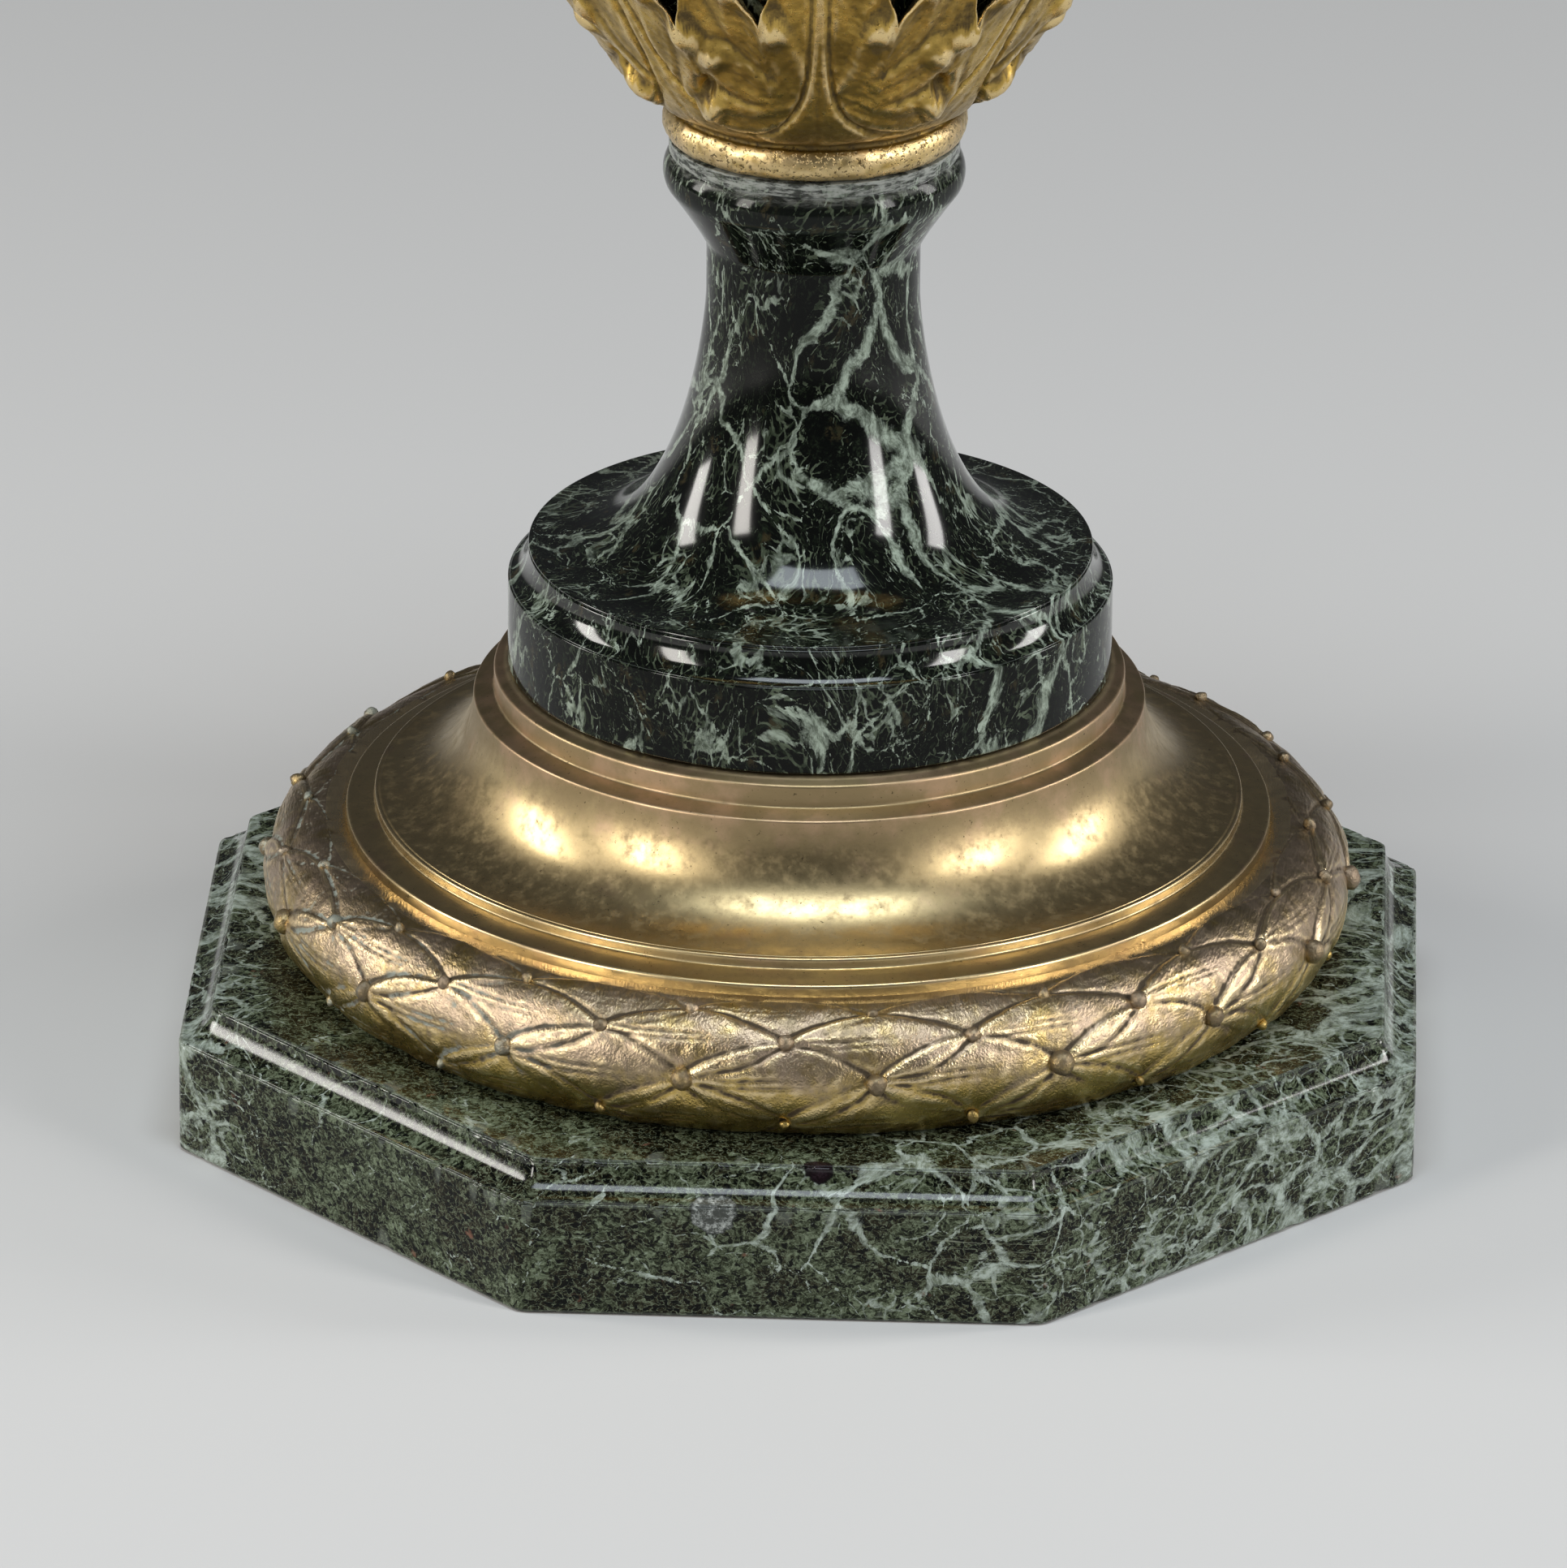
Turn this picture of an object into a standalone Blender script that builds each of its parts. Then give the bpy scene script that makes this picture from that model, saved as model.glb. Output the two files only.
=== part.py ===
# Mantel urn: an octagonal marble plinth, a gilt bronze wreath base, a turned marble
# stem, a bronze cup of acanthus leaves, a hollow marble body, a bronze rim, and a
# marble lid with a bronze finial. Metres, +Z up, origin under the middle of the plinth.

import math

import bmesh
import bpy

MM = 0.001

# Gap between two pieces that touch
SEAT_GAP = 0.3 * MM

# Plinth: a regular octagon with a hollow moulding round its top edge
PLINTH_MARGIN = 4.2 * MM
PLINTH_FACE = 14.2 * MM
PLINTH_COVE = 4.0 * MM
PLINTH_COVE_STEPS = 5

# Wreath base: a leafy torus, an outer ledge, a dish that sweeps up, and a stepped collar
WREATH_SECTION = 8.1 * MM
WREATH_SEAT_CUT = 0.8 * MM
WREATH_LEAVES = 18
WREATH_LEAF_RISE = 1.3 * MM
WREATH_FLANK_SHARE = 0.6
WREATH_ROWS = 9
WREATH_MIDDLE_ROW = 3
WREATH_MIDDLE = 4.0
WREATH_ROW_STEP = 35.5
WREATH_ROW_CLOSING = 3.3
WREATH_FOOT = 0.1 * MM
LEDGE_INSET = 0.8 * MM
LEDGE_RISER = 1.0 * MM
LEDGE_WIDTH = 3.5 * MM
LEDGE_FALL = 0.7 * MM
RING_RISER = 1.3 * MM
DISH_WIDTH = 12.1 * MM
DISH_RISE = 12.5 * MM
DISH_STEPS = 5
COLLAR_WIDTH = 2.5 * MM
COLLAR_FALL = 0.8 * MM
LIP_RISER = 2.7 * MM
LIP_WIDTH = 1.7 * MM
LIP_FALL = 0.6 * MM

# Stem: foot, hollow moulding, trumpet, neck, knop and a flat band under the cup
FOOT_RADIUS = 36.8 * MM
FOOT_FACE = 11.0 * MM
FOOT_COVE_RISE = 4.4 * MM
FOOT_COVE_DEPTH = 2.5 * MM
FOOT_COVE_STEPS = 4
TRUMPET_RISE = 32.6 * MM
TRUMPET_HEIGHT_POWER = 0.376
TRUMPET_WIDTH_POWER = 1.374
TRUMPET_STEPS = 8
TRUMPET_STEP_SPREAD = 2.2
NECK_RADIUS = 12.9 * MM
NECK_RISE = 6.9 * MM
KNOP_PROJECTION = 5.3 * MM
KNOP_SECTION = 3.6 * MM
KNOP_LIFT = 8.7 * MM
KNOP_UNDERCUT = 0.3 * MM
KNOP_UNDERSIDE_POWER = 0.9
KNOP_LOW_ANGLE = -30.0
KNOP_HIGH_ANGLE = 46.0
KNOP_STEPS = 6
BAND_INSET = 0.7 * MM
BAND_RISE = 1.7 * MM
STEM_SIDES = 28

# Acanthus cup: a bead, then four leaves in front and four behind them
BEAD_OVERHANG = 0.8 * MM
BEAD_RISE = 4.0 * MM
BEAD_INSET = 1.3 * MM
BEAD_STEPS = 3
LEAF_PAIRS = 4
LEAF_TURN = 4.6
LEAF_THICKNESS = 1.2 * MM
LEAF_ROOT_THICKENING = 3.4 * MM
LEAF_ROOT_REACH = 18.0 * MM
LEAF_CLEARANCE = 0.5 * MM
LEAF_TIP_CURL = 1.1 * MM
LEAF_RIB_RISE = 0.9 * MM
LEAF_RIB_WIDTH = 3.2
LEAF_LOBE_RISE = 1.6 * MM
LEAF_STEPS = 7
CUP_FLOOR = 2.1 * MM
CUP_COLUMNS = 72
CUP_INNER_STEPS = 3

# Each lobe of a leaf: degrees from the leaf's rib, height above the bead, half width in degrees
FRONT_LEAF_LOBES = (
    (0.0, 34.0 * MM, 8.5),
    (22.0, 29.5 * MM, 6.5),
)
BACK_LEAF_LOBES = ((0.0, 32.0 * MM, 8.6),)
LEAF_LOBE_DROP = 5.0 * MM
LOW_LOBE_ANGLE = 31.0
LOW_LOBE_HEIGHT = 8.6 * MM
LOW_LOBE_SPREAD = 2.6 * MM
LOW_LOBE_WIDTH = 5.0

# Body: a hollow vessel that swells from the cup up to the belly and draws in to a short collar
MOUTH_RADIUS = 28.0 * MM
BODY_WALL = 7.0 * MM
BODY_FLOOR = 19.0 * MM
SHOULDER_WIDTH = 15.0 * MM
SHOULDER_RISE = 21.0 * MM
SHOULDER_STEPS = 5
INNER_SHOULDER_STEPS = 3
COLLAR_RISE = 5.0 * MM
BELLY_RISE = 69.0 * MM
BODY_SINK = 5.0 * MM
BODY_HEIGHT_POWER = 1.2
BODY_WIDTH_POWER = 0.44
BODY_STEPS = 8
BODY_STEP_SPREAD = 1.5
BODY_SIDES = 28

# Rim: a rounded edge over a small cove
RIM_RISE = 6.0 * MM
RIM_OVERHANG = 2.6 * MM
RIM_EDGE_RADIUS = 1.8 * MM
RIM_COVE_FOOT = 1.8 * MM
RIM_STEPS = 4

# Lid: a spigot in the mouth, a flat edge and a low dome
SPIGOT_CLEARANCE = 0.6 * MM
SPIGOT_DROP = 9.0 * MM
LID_INSET = 1.6 * MM
LID_EDGE = 2.4 * MM
LID_STEP = 1.6 * MM
LID_RISE = 17.0 * MM
LID_STEPS = 6
LID_TOP_MARGIN = 0.8 * MM

# Finial: a round foot, a waist and a bud
FINIAL_WAIST_RADIUS = 3.2 * MM
FINIAL_FOOT_OVERHANG = 4.0 * MM
FINIAL_FOOT_RISE = 2.8 * MM
FINIAL_FOOT_STEPS = 3
FINIAL_WAIST_RISE = 4.2 * MM
FINIAL_BUD_RADIUS = 7.6 * MM
FINIAL_BUD_RISE = 18.0 * MM
FINIAL_BUD_LOW_SWELL = 0.75
FINIAL_BUD_STEPS = 6
FINIAL_SIDES = 20

# Radii that follow from the sizes above, from the stem's foot out to the plinth
lip_radius = FOOT_RADIUS + LIP_WIDTH
collar_radius = lip_radius + COLLAR_WIDTH
ring_radius = collar_radius + DISH_WIDTH
ledge_radius = ring_radius + LEDGE_WIDTH
wreath_radius = ledge_radius + LEDGE_INSET
wreath_reach = wreath_radius + WREATH_SECTION + WREATH_LEAF_RISE
plinth_half = wreath_reach + PLINTH_MARGIN + PLINTH_COVE

# Radii from the neck up to the lid's finial
knop_radius = NECK_RADIUS + KNOP_PROJECTION
band_radius = knop_radius - BAND_INSET
bead_radius = band_radius + BEAD_OVERHANG
body_collar_radius = MOUTH_RADIUS + BODY_WALL
belly_radius = body_collar_radius + SHOULDER_WIDTH
rim_radius = body_collar_radius + RIM_OVERHANG
finial_foot_radius = FINIAL_WAIST_RADIUS + FINIAL_FOOT_OVERHANG

# Levels, from the ground up
plinth_top = PLINTH_FACE + PLINTH_COVE
base_bottom = plinth_top + SEAT_GAP
wreath_middle = base_bottom + WREATH_SECTION - WREATH_SEAT_CUT
ledge_out = wreath_middle + WREATH_SECTION + LEDGE_RISER
ledge_in = ledge_out + LEDGE_FALL
ring_level = ledge_in + RING_RISER
collar_out = ring_level + DISH_RISE
collar_in = collar_out + COLLAR_FALL
lip_level = collar_in + LIP_RISER
base_top = lip_level + LIP_FALL
stem_bottom = base_top + SEAT_GAP
foot_top = stem_bottom + FOOT_FACE
trumpet_bottom = foot_top + FOOT_COVE_RISE
neck_bottom = trumpet_bottom + TRUMPET_RISE
knop_bottom = neck_bottom + NECK_RISE
knop_middle = knop_bottom + KNOP_LIFT
band_bottom = knop_middle + KNOP_SECTION * math.sin(math.radians(KNOP_HIGH_ANGLE))
stem_top = band_bottom + BAND_RISE
cup_bottom = stem_top + SEAT_GAP
bead_top = cup_bottom + BEAD_RISE
cup_floor = bead_top + CUP_FLOOR
body_bottom = cup_floor + SEAT_GAP
cavity_floor = body_bottom + BODY_FLOOR
belly_level = body_bottom + BELLY_RISE
body_top = belly_level + SHOULDER_RISE + COLLAR_RISE
rim_bottom = body_top + SEAT_GAP
rim_top = rim_bottom + RIM_RISE
lid_bottom = rim_top + SEAT_GAP
dome_bottom = lid_bottom + LID_EDGE
lid_top = dome_bottom + LID_RISE
finial_bottom = lid_top + SEAT_GAP
bud_bottom = finial_bottom + FINIAL_FOOT_RISE + FINIAL_WAIST_RISE


def clear_scene():
    for thing in list(bpy.data.objects):
        bpy.data.objects.remove(thing, do_unlink=True)


def finish_material(name, colour, roughness, metallic):
    material = bpy.data.materials.new(name)
    material.use_nodes = True
    shader = material.node_tree.nodes["Principled BSDF"]
    shader.inputs["Base Color"].default_value = (*colour, 1.0)
    shader.inputs["Roughness"].default_value = roughness
    shader.inputs["Metallic"].default_value = metallic
    return material


def add_object(name, mesh_builder, material, sharp_angle=35.0):
    mesh = bpy.data.meshes.new(name)
    mesh_builder.to_mesh(mesh)
    mesh_builder.free()
    mesh.materials.append(material)
    mesh.shade_smooth()
    mesh.set_sharp_from_angle(angle=math.radians(sharp_angle))
    thing = bpy.data.objects.new(name, mesh)
    bpy.context.scene.collection.objects.link(thing)
    return thing


def arc(centre, radii, start, end, steps):
    """Points of an ellipse's arc in the profile plane, both ends included."""
    points = []
    for step in range(steps + 1):
        angle = math.radians(start + (end - start) * step / steps)
        points.append((centre[0] + radii[0] * math.cos(angle), centre[1] + radii[1] * math.sin(angle)))
    return points


def turned(name, profile, sides, material):
    """A lathe solid: the profile, a run of (radius, height) from the axis or a closed loop, spun round Z."""
    builder = bmesh.new()
    points = [builder.verts.new((radius, 0.0, height)) for radius, height in profile]
    pairs = list(zip(points[:-1], points[1:]))
    if profile[0][0] > 0.0:
        pairs.append((points[-1], points[0]))
    edges = [builder.edges.new(pair) for pair in pairs]
    bmesh.ops.spin(
        builder, geom=points + edges, cent=(0, 0, 0), axis=(0, 0, 1), angle=math.tau, steps=sides, use_merge=True
    )
    bmesh.ops.remove_doubles(builder, verts=builder.verts, dist=0.01 * MM)
    bmesh.ops.recalc_face_normals(builder, faces=builder.faces)
    return add_object(name, builder, material)


def rising_diagonal(column, row):
    return (column + row) % 2 == 0


def skin(name, rings, material, diagonal=rising_diagonal):
    """A closed solid over a stack of rings of points, with a flat cap on the first and last ring."""
    builder = bmesh.new()
    loops = [[builder.verts.new(point) for point in ring] for ring in rings]
    count = len(loops[0])
    for row in range(len(loops) - 1):
        low, high = loops[row], loops[row + 1]
        for column in range(count):
            after = (column + 1) % count
            if diagonal(column, row):
                builder.faces.new((low[column], low[after], high[after]))
                builder.faces.new((low[column], high[after], high[column]))
            else:
                builder.faces.new((low[column], low[after], high[column]))
                builder.faces.new((low[after], high[after], high[column]))
    builder.faces.new(list(reversed(loops[0])))
    builder.faces.new(loops[-1])
    bmesh.ops.recalc_face_normals(builder, faces=builder.faces)
    return add_object(name, builder, material)


def ring_point(radius, degrees, height):
    angle = math.radians(degrees)
    return (radius * math.cos(angle), radius * math.sin(angle), height)


def make_plinth(material):
    """The octagon's level rings: straight sides, then the hollow moulding drawn in to the flat top."""
    sides = 8
    turn = 360.0 / sides
    cove = arc((plinth_half, plinth_top), (PLINTH_COVE, PLINTH_COVE), 270, 180, PLINTH_COVE_STEPS)
    outline = [(plinth_half, 0.0)] + cove
    rings = []
    for flat, height in outline:
        corner = flat / math.cos(math.pi / sides)
        rings.append([ring_point(corner, turn * (side + 0.5), height) for side in range(sides)])
    return skin("plinth", rings, material)


def wreath_angle(row):
    """The place of a row of leaf tips round the torus section; the rows close up towards the top."""
    return WREATH_MIDDLE + WREATH_ROW_STEP * row - WREATH_ROW_CLOSING * row * row


def wreath_relief(column, row):
    """Lens-shaped leaves in a diamond lattice, four columns and four rows to a leaf: high on the rib."""
    falling = (column + row + 3) % 4
    rising = (column - row + 1) % 4
    if falling == 2 or rising == 2:
        return 0.0
    on_rib = falling == 0 and rising == 0
    return WREATH_LEAF_RISE if on_rib else WREATH_LEAF_RISE * WREATH_FLANK_SHARE


def wreath_diagonal(column, ring):
    """Faces are split along the grooves between the leaves; the first ring lies below the first row."""
    row = ring - 1
    if (column - row + 1) % 2 == 0:
        return (column - row + 1) % 4 == 2
    return (column + row) % 4 == 0


def make_base(material):
    """One casting from its flat seat: the leafy torus, the ledge, the dish, the collar and the raised lip."""
    columns = WREATH_LEAVES * 4
    turn = 360.0 / columns

    def level_ring(radius, height):
        return [ring_point(radius, turn * column, height) for column in range(columns)]

    lowest = math.acos(1.0 - WREATH_SEAT_CUT / WREATH_SECTION)
    rings = [level_ring(wreath_radius + WREATH_SECTION * math.sin(lowest), base_bottom)]
    for row in range(WREATH_ROWS):
        section = math.radians(wreath_angle((row - WREATH_MIDDLE_ROW) / 2))
        ring = []
        for column in range(columns):
            reach = WREATH_SECTION + wreath_relief(column, row)
            radius = wreath_radius + reach * math.cos(section)
            height = max(wreath_middle + reach * math.sin(section), base_bottom + WREATH_FOOT)
            ring.append(ring_point(radius, turn * column, height))
        rings.append(ring)
    outline = [(ledge_radius, ledge_out - LEDGE_RISER), (ledge_radius, ledge_out), (ring_radius, ledge_in)]
    outline += arc((ring_radius, collar_out), (DISH_WIDTH, DISH_RISE), 270, 180, DISH_STEPS)
    outline += [(lip_radius, collar_in), (lip_radius, lip_level), (FOOT_RADIUS, base_top)]
    for radius, height in outline:
        rings.append(level_ring(radius, height))
    return skin("wreath_base", rings, material, wreath_diagonal)


def trumpet_radius(share):
    """Radius of the stem at a share of the trumpet's rise: a concave Lame curve from the foot to the neck."""
    foot = FOOT_RADIUS - FOOT_COVE_DEPTH
    return NECK_RADIUS + (foot - NECK_RADIUS) * (1 - share**TRUMPET_HEIGHT_POWER) ** TRUMPET_WIDTH_POWER


def make_stem(material):
    """Foot, cove and trumpet, then the knop's sloping underside, its rounded edge and the band above it."""
    profile = [(0.0, stem_bottom), (FOOT_RADIUS, stem_bottom)]
    cove_centre = (FOOT_RADIUS, trumpet_bottom)
    profile += arc(cove_centre, (FOOT_COVE_DEPTH, FOOT_COVE_RISE), 270, 180, FOOT_COVE_STEPS)
    for step in range(1, TRUMPET_STEPS + 1):
        share = (step / TRUMPET_STEPS) ** TRUMPET_STEP_SPREAD
        profile.append((trumpet_radius(share), trumpet_bottom + TRUMPET_RISE * share))
    under = NECK_RADIUS + KNOP_UNDERCUT
    profile += [(NECK_RADIUS, knop_bottom), (under, knop_bottom)]
    section = (KNOP_SECTION, KNOP_SECTION)
    centre = (knop_radius - KNOP_SECTION, knop_middle)
    knop = arc(centre, section, KNOP_LOW_ANGLE, KNOP_HIGH_ANGLE, KNOP_STEPS)
    width, rise = knop[0][0] - under, knop[0][1] - knop_bottom
    for share in (1 / 3, 2 / 3):
        profile.append((under + width * share, knop_bottom + rise * share**KNOP_UNDERSIDE_POWER))
    profile += knop
    profile += [(band_radius, band_bottom), (band_radius, stem_top), (0.0, stem_top)]
    return turned("stem", profile, STEM_SIDES, material)


def body_radius(height):
    """Radius of the body below its belly: a Lame curve that swells from a point inside the cup."""
    share = (belly_level - height) / (BELLY_RISE + BODY_SINK)
    return belly_radius * (1 - share**BODY_HEIGHT_POWER) ** BODY_WIDTH_POWER


def body_levels():
    """Heights of the body's rings from its foot to just under the belly, close together where it is small."""
    return [body_bottom + BELLY_RISE * (step / BODY_STEPS) ** BODY_STEP_SPREAD for step in range(BODY_STEPS)]


def leaf_offsets(degrees):
    """Degrees from the nearest front leaf's rib and from the nearest back leaf's rib."""
    spacing = 360.0 / LEAF_PAIRS
    front = (degrees - LEAF_TURN + 90.0 + spacing / 2) % spacing - spacing / 2
    back = (front + spacing) % spacing - spacing / 2
    return front, back


def leaf_top(degrees):
    """Height of the leaves' edge above the bead: the highest of the lobes' rounded tops."""
    front, back = leaf_offsets(degrees)
    heights = []
    for offset, lobes in ((abs(front), FRONT_LEAF_LOBES), (abs(back), BACK_LEAF_LOBES)):
        for angle, height, width in lobes:
            heights.append(height - LEAF_LOBE_DROP * ((offset - angle) / width) ** 2)
    return max(heights)


def leaf_curl(share):
    """How far a leaf leans out at a share of its height: nothing low down, most at the edge."""
    return LEAF_TIP_CURL * share**4


def leaf_relief(degrees, height):
    """Ribs down the middle of each leaf, curled lobes on the front leaves, and an outward curl at the edge."""
    front, back = leaf_offsets(degrees)
    share = height / leaf_top(degrees)
    rib = math.exp(-((front / LEAF_RIB_WIDTH) ** 2)) + math.exp(-((back / LEAF_RIB_WIDTH) ** 2))
    aside = (abs(front) - LOW_LOBE_ANGLE) / LOW_LOBE_WIDTH
    above = (height - LOW_LOBE_HEIGHT) / LOW_LOBE_SPREAD
    lobe = math.exp(-(aside**2) - above**2)
    return leaf_curl(share) + LEAF_RIB_RISE * rib * (1 - share) + LEAF_LOBE_RISE * lobe


def make_cup(material):
    """A bead and a cup of leaves: up the outside to the leaves' edge, then down the inside to the body's seat."""
    turn = 360.0 / CUP_COLUMNS
    angles = [LEAF_TURN - 90.0 + turn * column for column in range(CUP_COLUMNS)]

    def level_ring(radius, height):
        return [ring_point(radius, angle, height) for angle in angles]

    rings = []
    bead_centre = (bead_radius - BEAD_INSET, cup_bottom + BEAD_RISE / 2)
    for radius, height in arc(bead_centre, (BEAD_INSET, BEAD_RISE / 2), -90, 90, BEAD_STEPS):
        rings.append(level_ring(radius, height))
    for step in range(1, LEAF_STEPS + 1):
        ring = []
        for angle in angles:
            rise = leaf_top(angle) * step / LEAF_STEPS
            root = max(0.0, 1 - rise / LEAF_ROOT_REACH) ** 2
            thickness = LEAF_CLEARANCE + LEAF_THICKNESS + LEAF_ROOT_THICKENING * root
            radius = body_radius(bead_top + rise) + thickness + leaf_relief(angle, rise)
            ring.append(ring_point(radius, angle, bead_top + rise))
        rings.append(ring)
    inner_levels = body_levels()[:CUP_INNER_STEPS]
    for share in (1.0, 0.5):
        ring = []
        for angle in angles:
            top = bead_top + leaf_top(angle)
            height = inner_levels[-1] + (top - inner_levels[-1]) * share
            curl = leaf_curl((height - bead_top) / leaf_top(angle))
            ring.append(ring_point(body_radius(height) + LEAF_CLEARANCE + curl, angle, height))
        rings.append(ring)
    for height in reversed(inner_levels[1:]):
        rings.append(level_ring(body_radius(height) + SEAT_GAP, height))
    rings.append(level_ring(body_radius(body_bottom) + SEAT_GAP, cup_floor))
    return skin("acanthus_cup", rings, material)


def make_body(material):
    """The vessel's outside from its seat in the cup up to the collar, then its inside down to the floor."""
    profile = [(0.0, body_bottom)]
    for height in body_levels():
        profile.append((body_radius(height), height))
    profile += arc((body_collar_radius, belly_level), (SHOULDER_WIDTH, SHOULDER_RISE), 0, 90, SHOULDER_STEPS)
    profile += [(body_collar_radius, body_top), (MOUTH_RADIUS, body_top)]
    inside = (SHOULDER_WIDTH, SHOULDER_RISE - BODY_WALL)
    profile += arc((MOUTH_RADIUS, belly_level), inside, 90, 0, INNER_SHOULDER_STEPS)
    middle = (cavity_floor + belly_level) / 2
    for height in (middle, cavity_floor):
        profile.append((body_radius(height) - BODY_WALL, height))
    profile.append((0.0, cavity_floor))
    return turned("body", profile, BODY_SIDES, material)


def make_rim(material):
    """A bronze ring round the mouth: a rounded edge over a small cove."""
    cove_top = rim_bottom + RIM_COVE_FOOT
    profile = [(MOUTH_RADIUS, rim_top), (MOUTH_RADIUS, rim_bottom)]
    profile += [(body_collar_radius, rim_bottom), (body_collar_radius, cove_top)]
    edge_centre = (rim_radius - RIM_EDGE_RADIUS, rim_top - RIM_EDGE_RADIUS)
    profile += arc(edge_centre, (RIM_EDGE_RADIUS, RIM_EDGE_RADIUS), -45, 90, RIM_STEPS)
    return turned("rim", profile, BODY_SIDES, material)


def make_lid(material):
    """A marble lid: a spigot in the mouth, a flat edge on the rim, and a low ogee dome."""
    spigot = MOUTH_RADIUS - SPIGOT_CLEARANCE
    spigot_bottom = lid_bottom - SPIGOT_DROP
    edge = rim_radius - LID_INSET
    top = finial_foot_radius + LID_TOP_MARGIN
    profile = [(0.0, spigot_bottom), (spigot, spigot_bottom), (spigot, lid_bottom)]
    profile += [(edge, lid_bottom), (edge, dome_bottom)]
    for step in range(1, LID_STEPS + 1):
        share = step / LID_STEPS
        swell = (1 + math.cos(math.pi * share)) / 2
        profile.append((top + (edge - LID_STEP - top) * swell, dome_bottom + LID_RISE * share))
    profile.append((0.0, lid_top))
    return turned("lid", profile, BODY_SIDES, material)


def make_finial(material):
    """A plain bronze knob: a round foot, a waist and a bud drawn up to a blunt tip."""
    edge = FINIAL_FOOT_RISE / 2
    profile = [(0.0, finial_bottom)]
    profile += arc((finial_foot_radius - edge, finial_bottom + edge), (edge, edge), -90, 90, FINIAL_FOOT_STEPS)
    profile.append((FINIAL_WAIST_RADIUS, bud_bottom))
    for step in range(1, FINIAL_BUD_STEPS + 1):
        share = step / (FINIAL_BUD_STEPS + 0.5)
        width = math.sin(math.pi * share**FINIAL_BUD_LOW_SWELL)
        waist = FINIAL_WAIST_RADIUS * (1 - share)
        profile.append((waist + (FINIAL_BUD_RADIUS - waist) * width, bud_bottom + FINIAL_BUD_RISE * share))
    profile.append((0.0, bud_bottom + FINIAL_BUD_RISE))
    return turned("finial", profile, FINIAL_SIDES, material)


def main():
    clear_scene()
    make_plinth(finish_material("plinth_marble", (0.075, 0.095, 0.07), 0.28, 0.0))
    make_base(finish_material("gilt_bronze", (0.55, 0.4, 0.18), 0.32, 1.0))
    make_stem(finish_material("stem_marble", (0.03, 0.045, 0.035), 0.12, 0.0))
    make_cup(finish_material("cup_bronze", (0.6, 0.42, 0.14), 0.35, 1.0))
    make_body(finish_material("body_marble", (0.03, 0.045, 0.035), 0.12, 0.0))
    make_rim(finish_material("rim_bronze", (0.55, 0.4, 0.18), 0.32, 1.0))
    make_lid(finish_material("lid_marble", (0.03, 0.045, 0.035), 0.12, 0.0))
    make_finial(finish_material("finial_bronze", (0.6, 0.42, 0.14), 0.32, 1.0))


main()
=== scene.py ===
import math

import bpy
import numpy as np
from mathutils import Matrix


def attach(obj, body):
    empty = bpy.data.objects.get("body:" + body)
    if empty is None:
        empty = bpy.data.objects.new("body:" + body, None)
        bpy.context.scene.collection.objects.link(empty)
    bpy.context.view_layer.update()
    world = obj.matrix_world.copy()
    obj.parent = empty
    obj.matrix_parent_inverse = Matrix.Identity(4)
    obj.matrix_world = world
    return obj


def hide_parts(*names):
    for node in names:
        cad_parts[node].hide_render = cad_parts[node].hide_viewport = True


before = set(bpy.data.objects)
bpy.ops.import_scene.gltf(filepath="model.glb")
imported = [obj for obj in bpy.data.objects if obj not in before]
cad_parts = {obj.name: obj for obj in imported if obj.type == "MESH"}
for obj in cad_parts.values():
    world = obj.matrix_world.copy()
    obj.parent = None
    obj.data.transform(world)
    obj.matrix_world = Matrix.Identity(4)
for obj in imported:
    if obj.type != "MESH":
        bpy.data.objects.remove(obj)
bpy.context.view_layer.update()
metresPerUnit = 0.001   # the shapes below are in millimetres until a mesh is made


# Shapes shared by the pieces

def waveNoise(points, layers, waves=16):
    # for each (height, wavelength, seed), a sum of sine waves in random directions through space, from about
    # minus to plus the height, so no seam shows anywhere
    total = 0
    for height, wavelength, seed in layers:
        rng = np.random.default_rng(seed)
        directions = rng.normal(size=(waves, 3))
        directions /= np.linalg.norm(directions, axis=1)[:, None]
        lengths = 2 * math.pi / wavelength * rng.uniform(0.6, 1.6, waves)
        phases = rng.uniform(0, 2 * math.pi, waves)
        wave = np.sin(points @ (directions * lengths[:, None]).T + phases).sum(-1) * math.sqrt(1.0 / waves)
        total = total + height * wave
    return total


def smoothStep(value, low, high):
    share = np.clip((value - low) / (high - low), 0, 1)
    return share * share * (3 - 2 * share)


def ellipseArc(centre, radii, start, end, steps):
    # centre plus the radii times the cosine and sine of an angle that runs from start to end, in degrees
    angle = np.radians(np.linspace(start, end, steps + 1))
    turned = zip(np.cos(angle), np.sin(angle))
    return [(centre[0] + radii[0] * c, centre[1] + radii[1] * s, 0) for c, s in turned]


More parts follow.
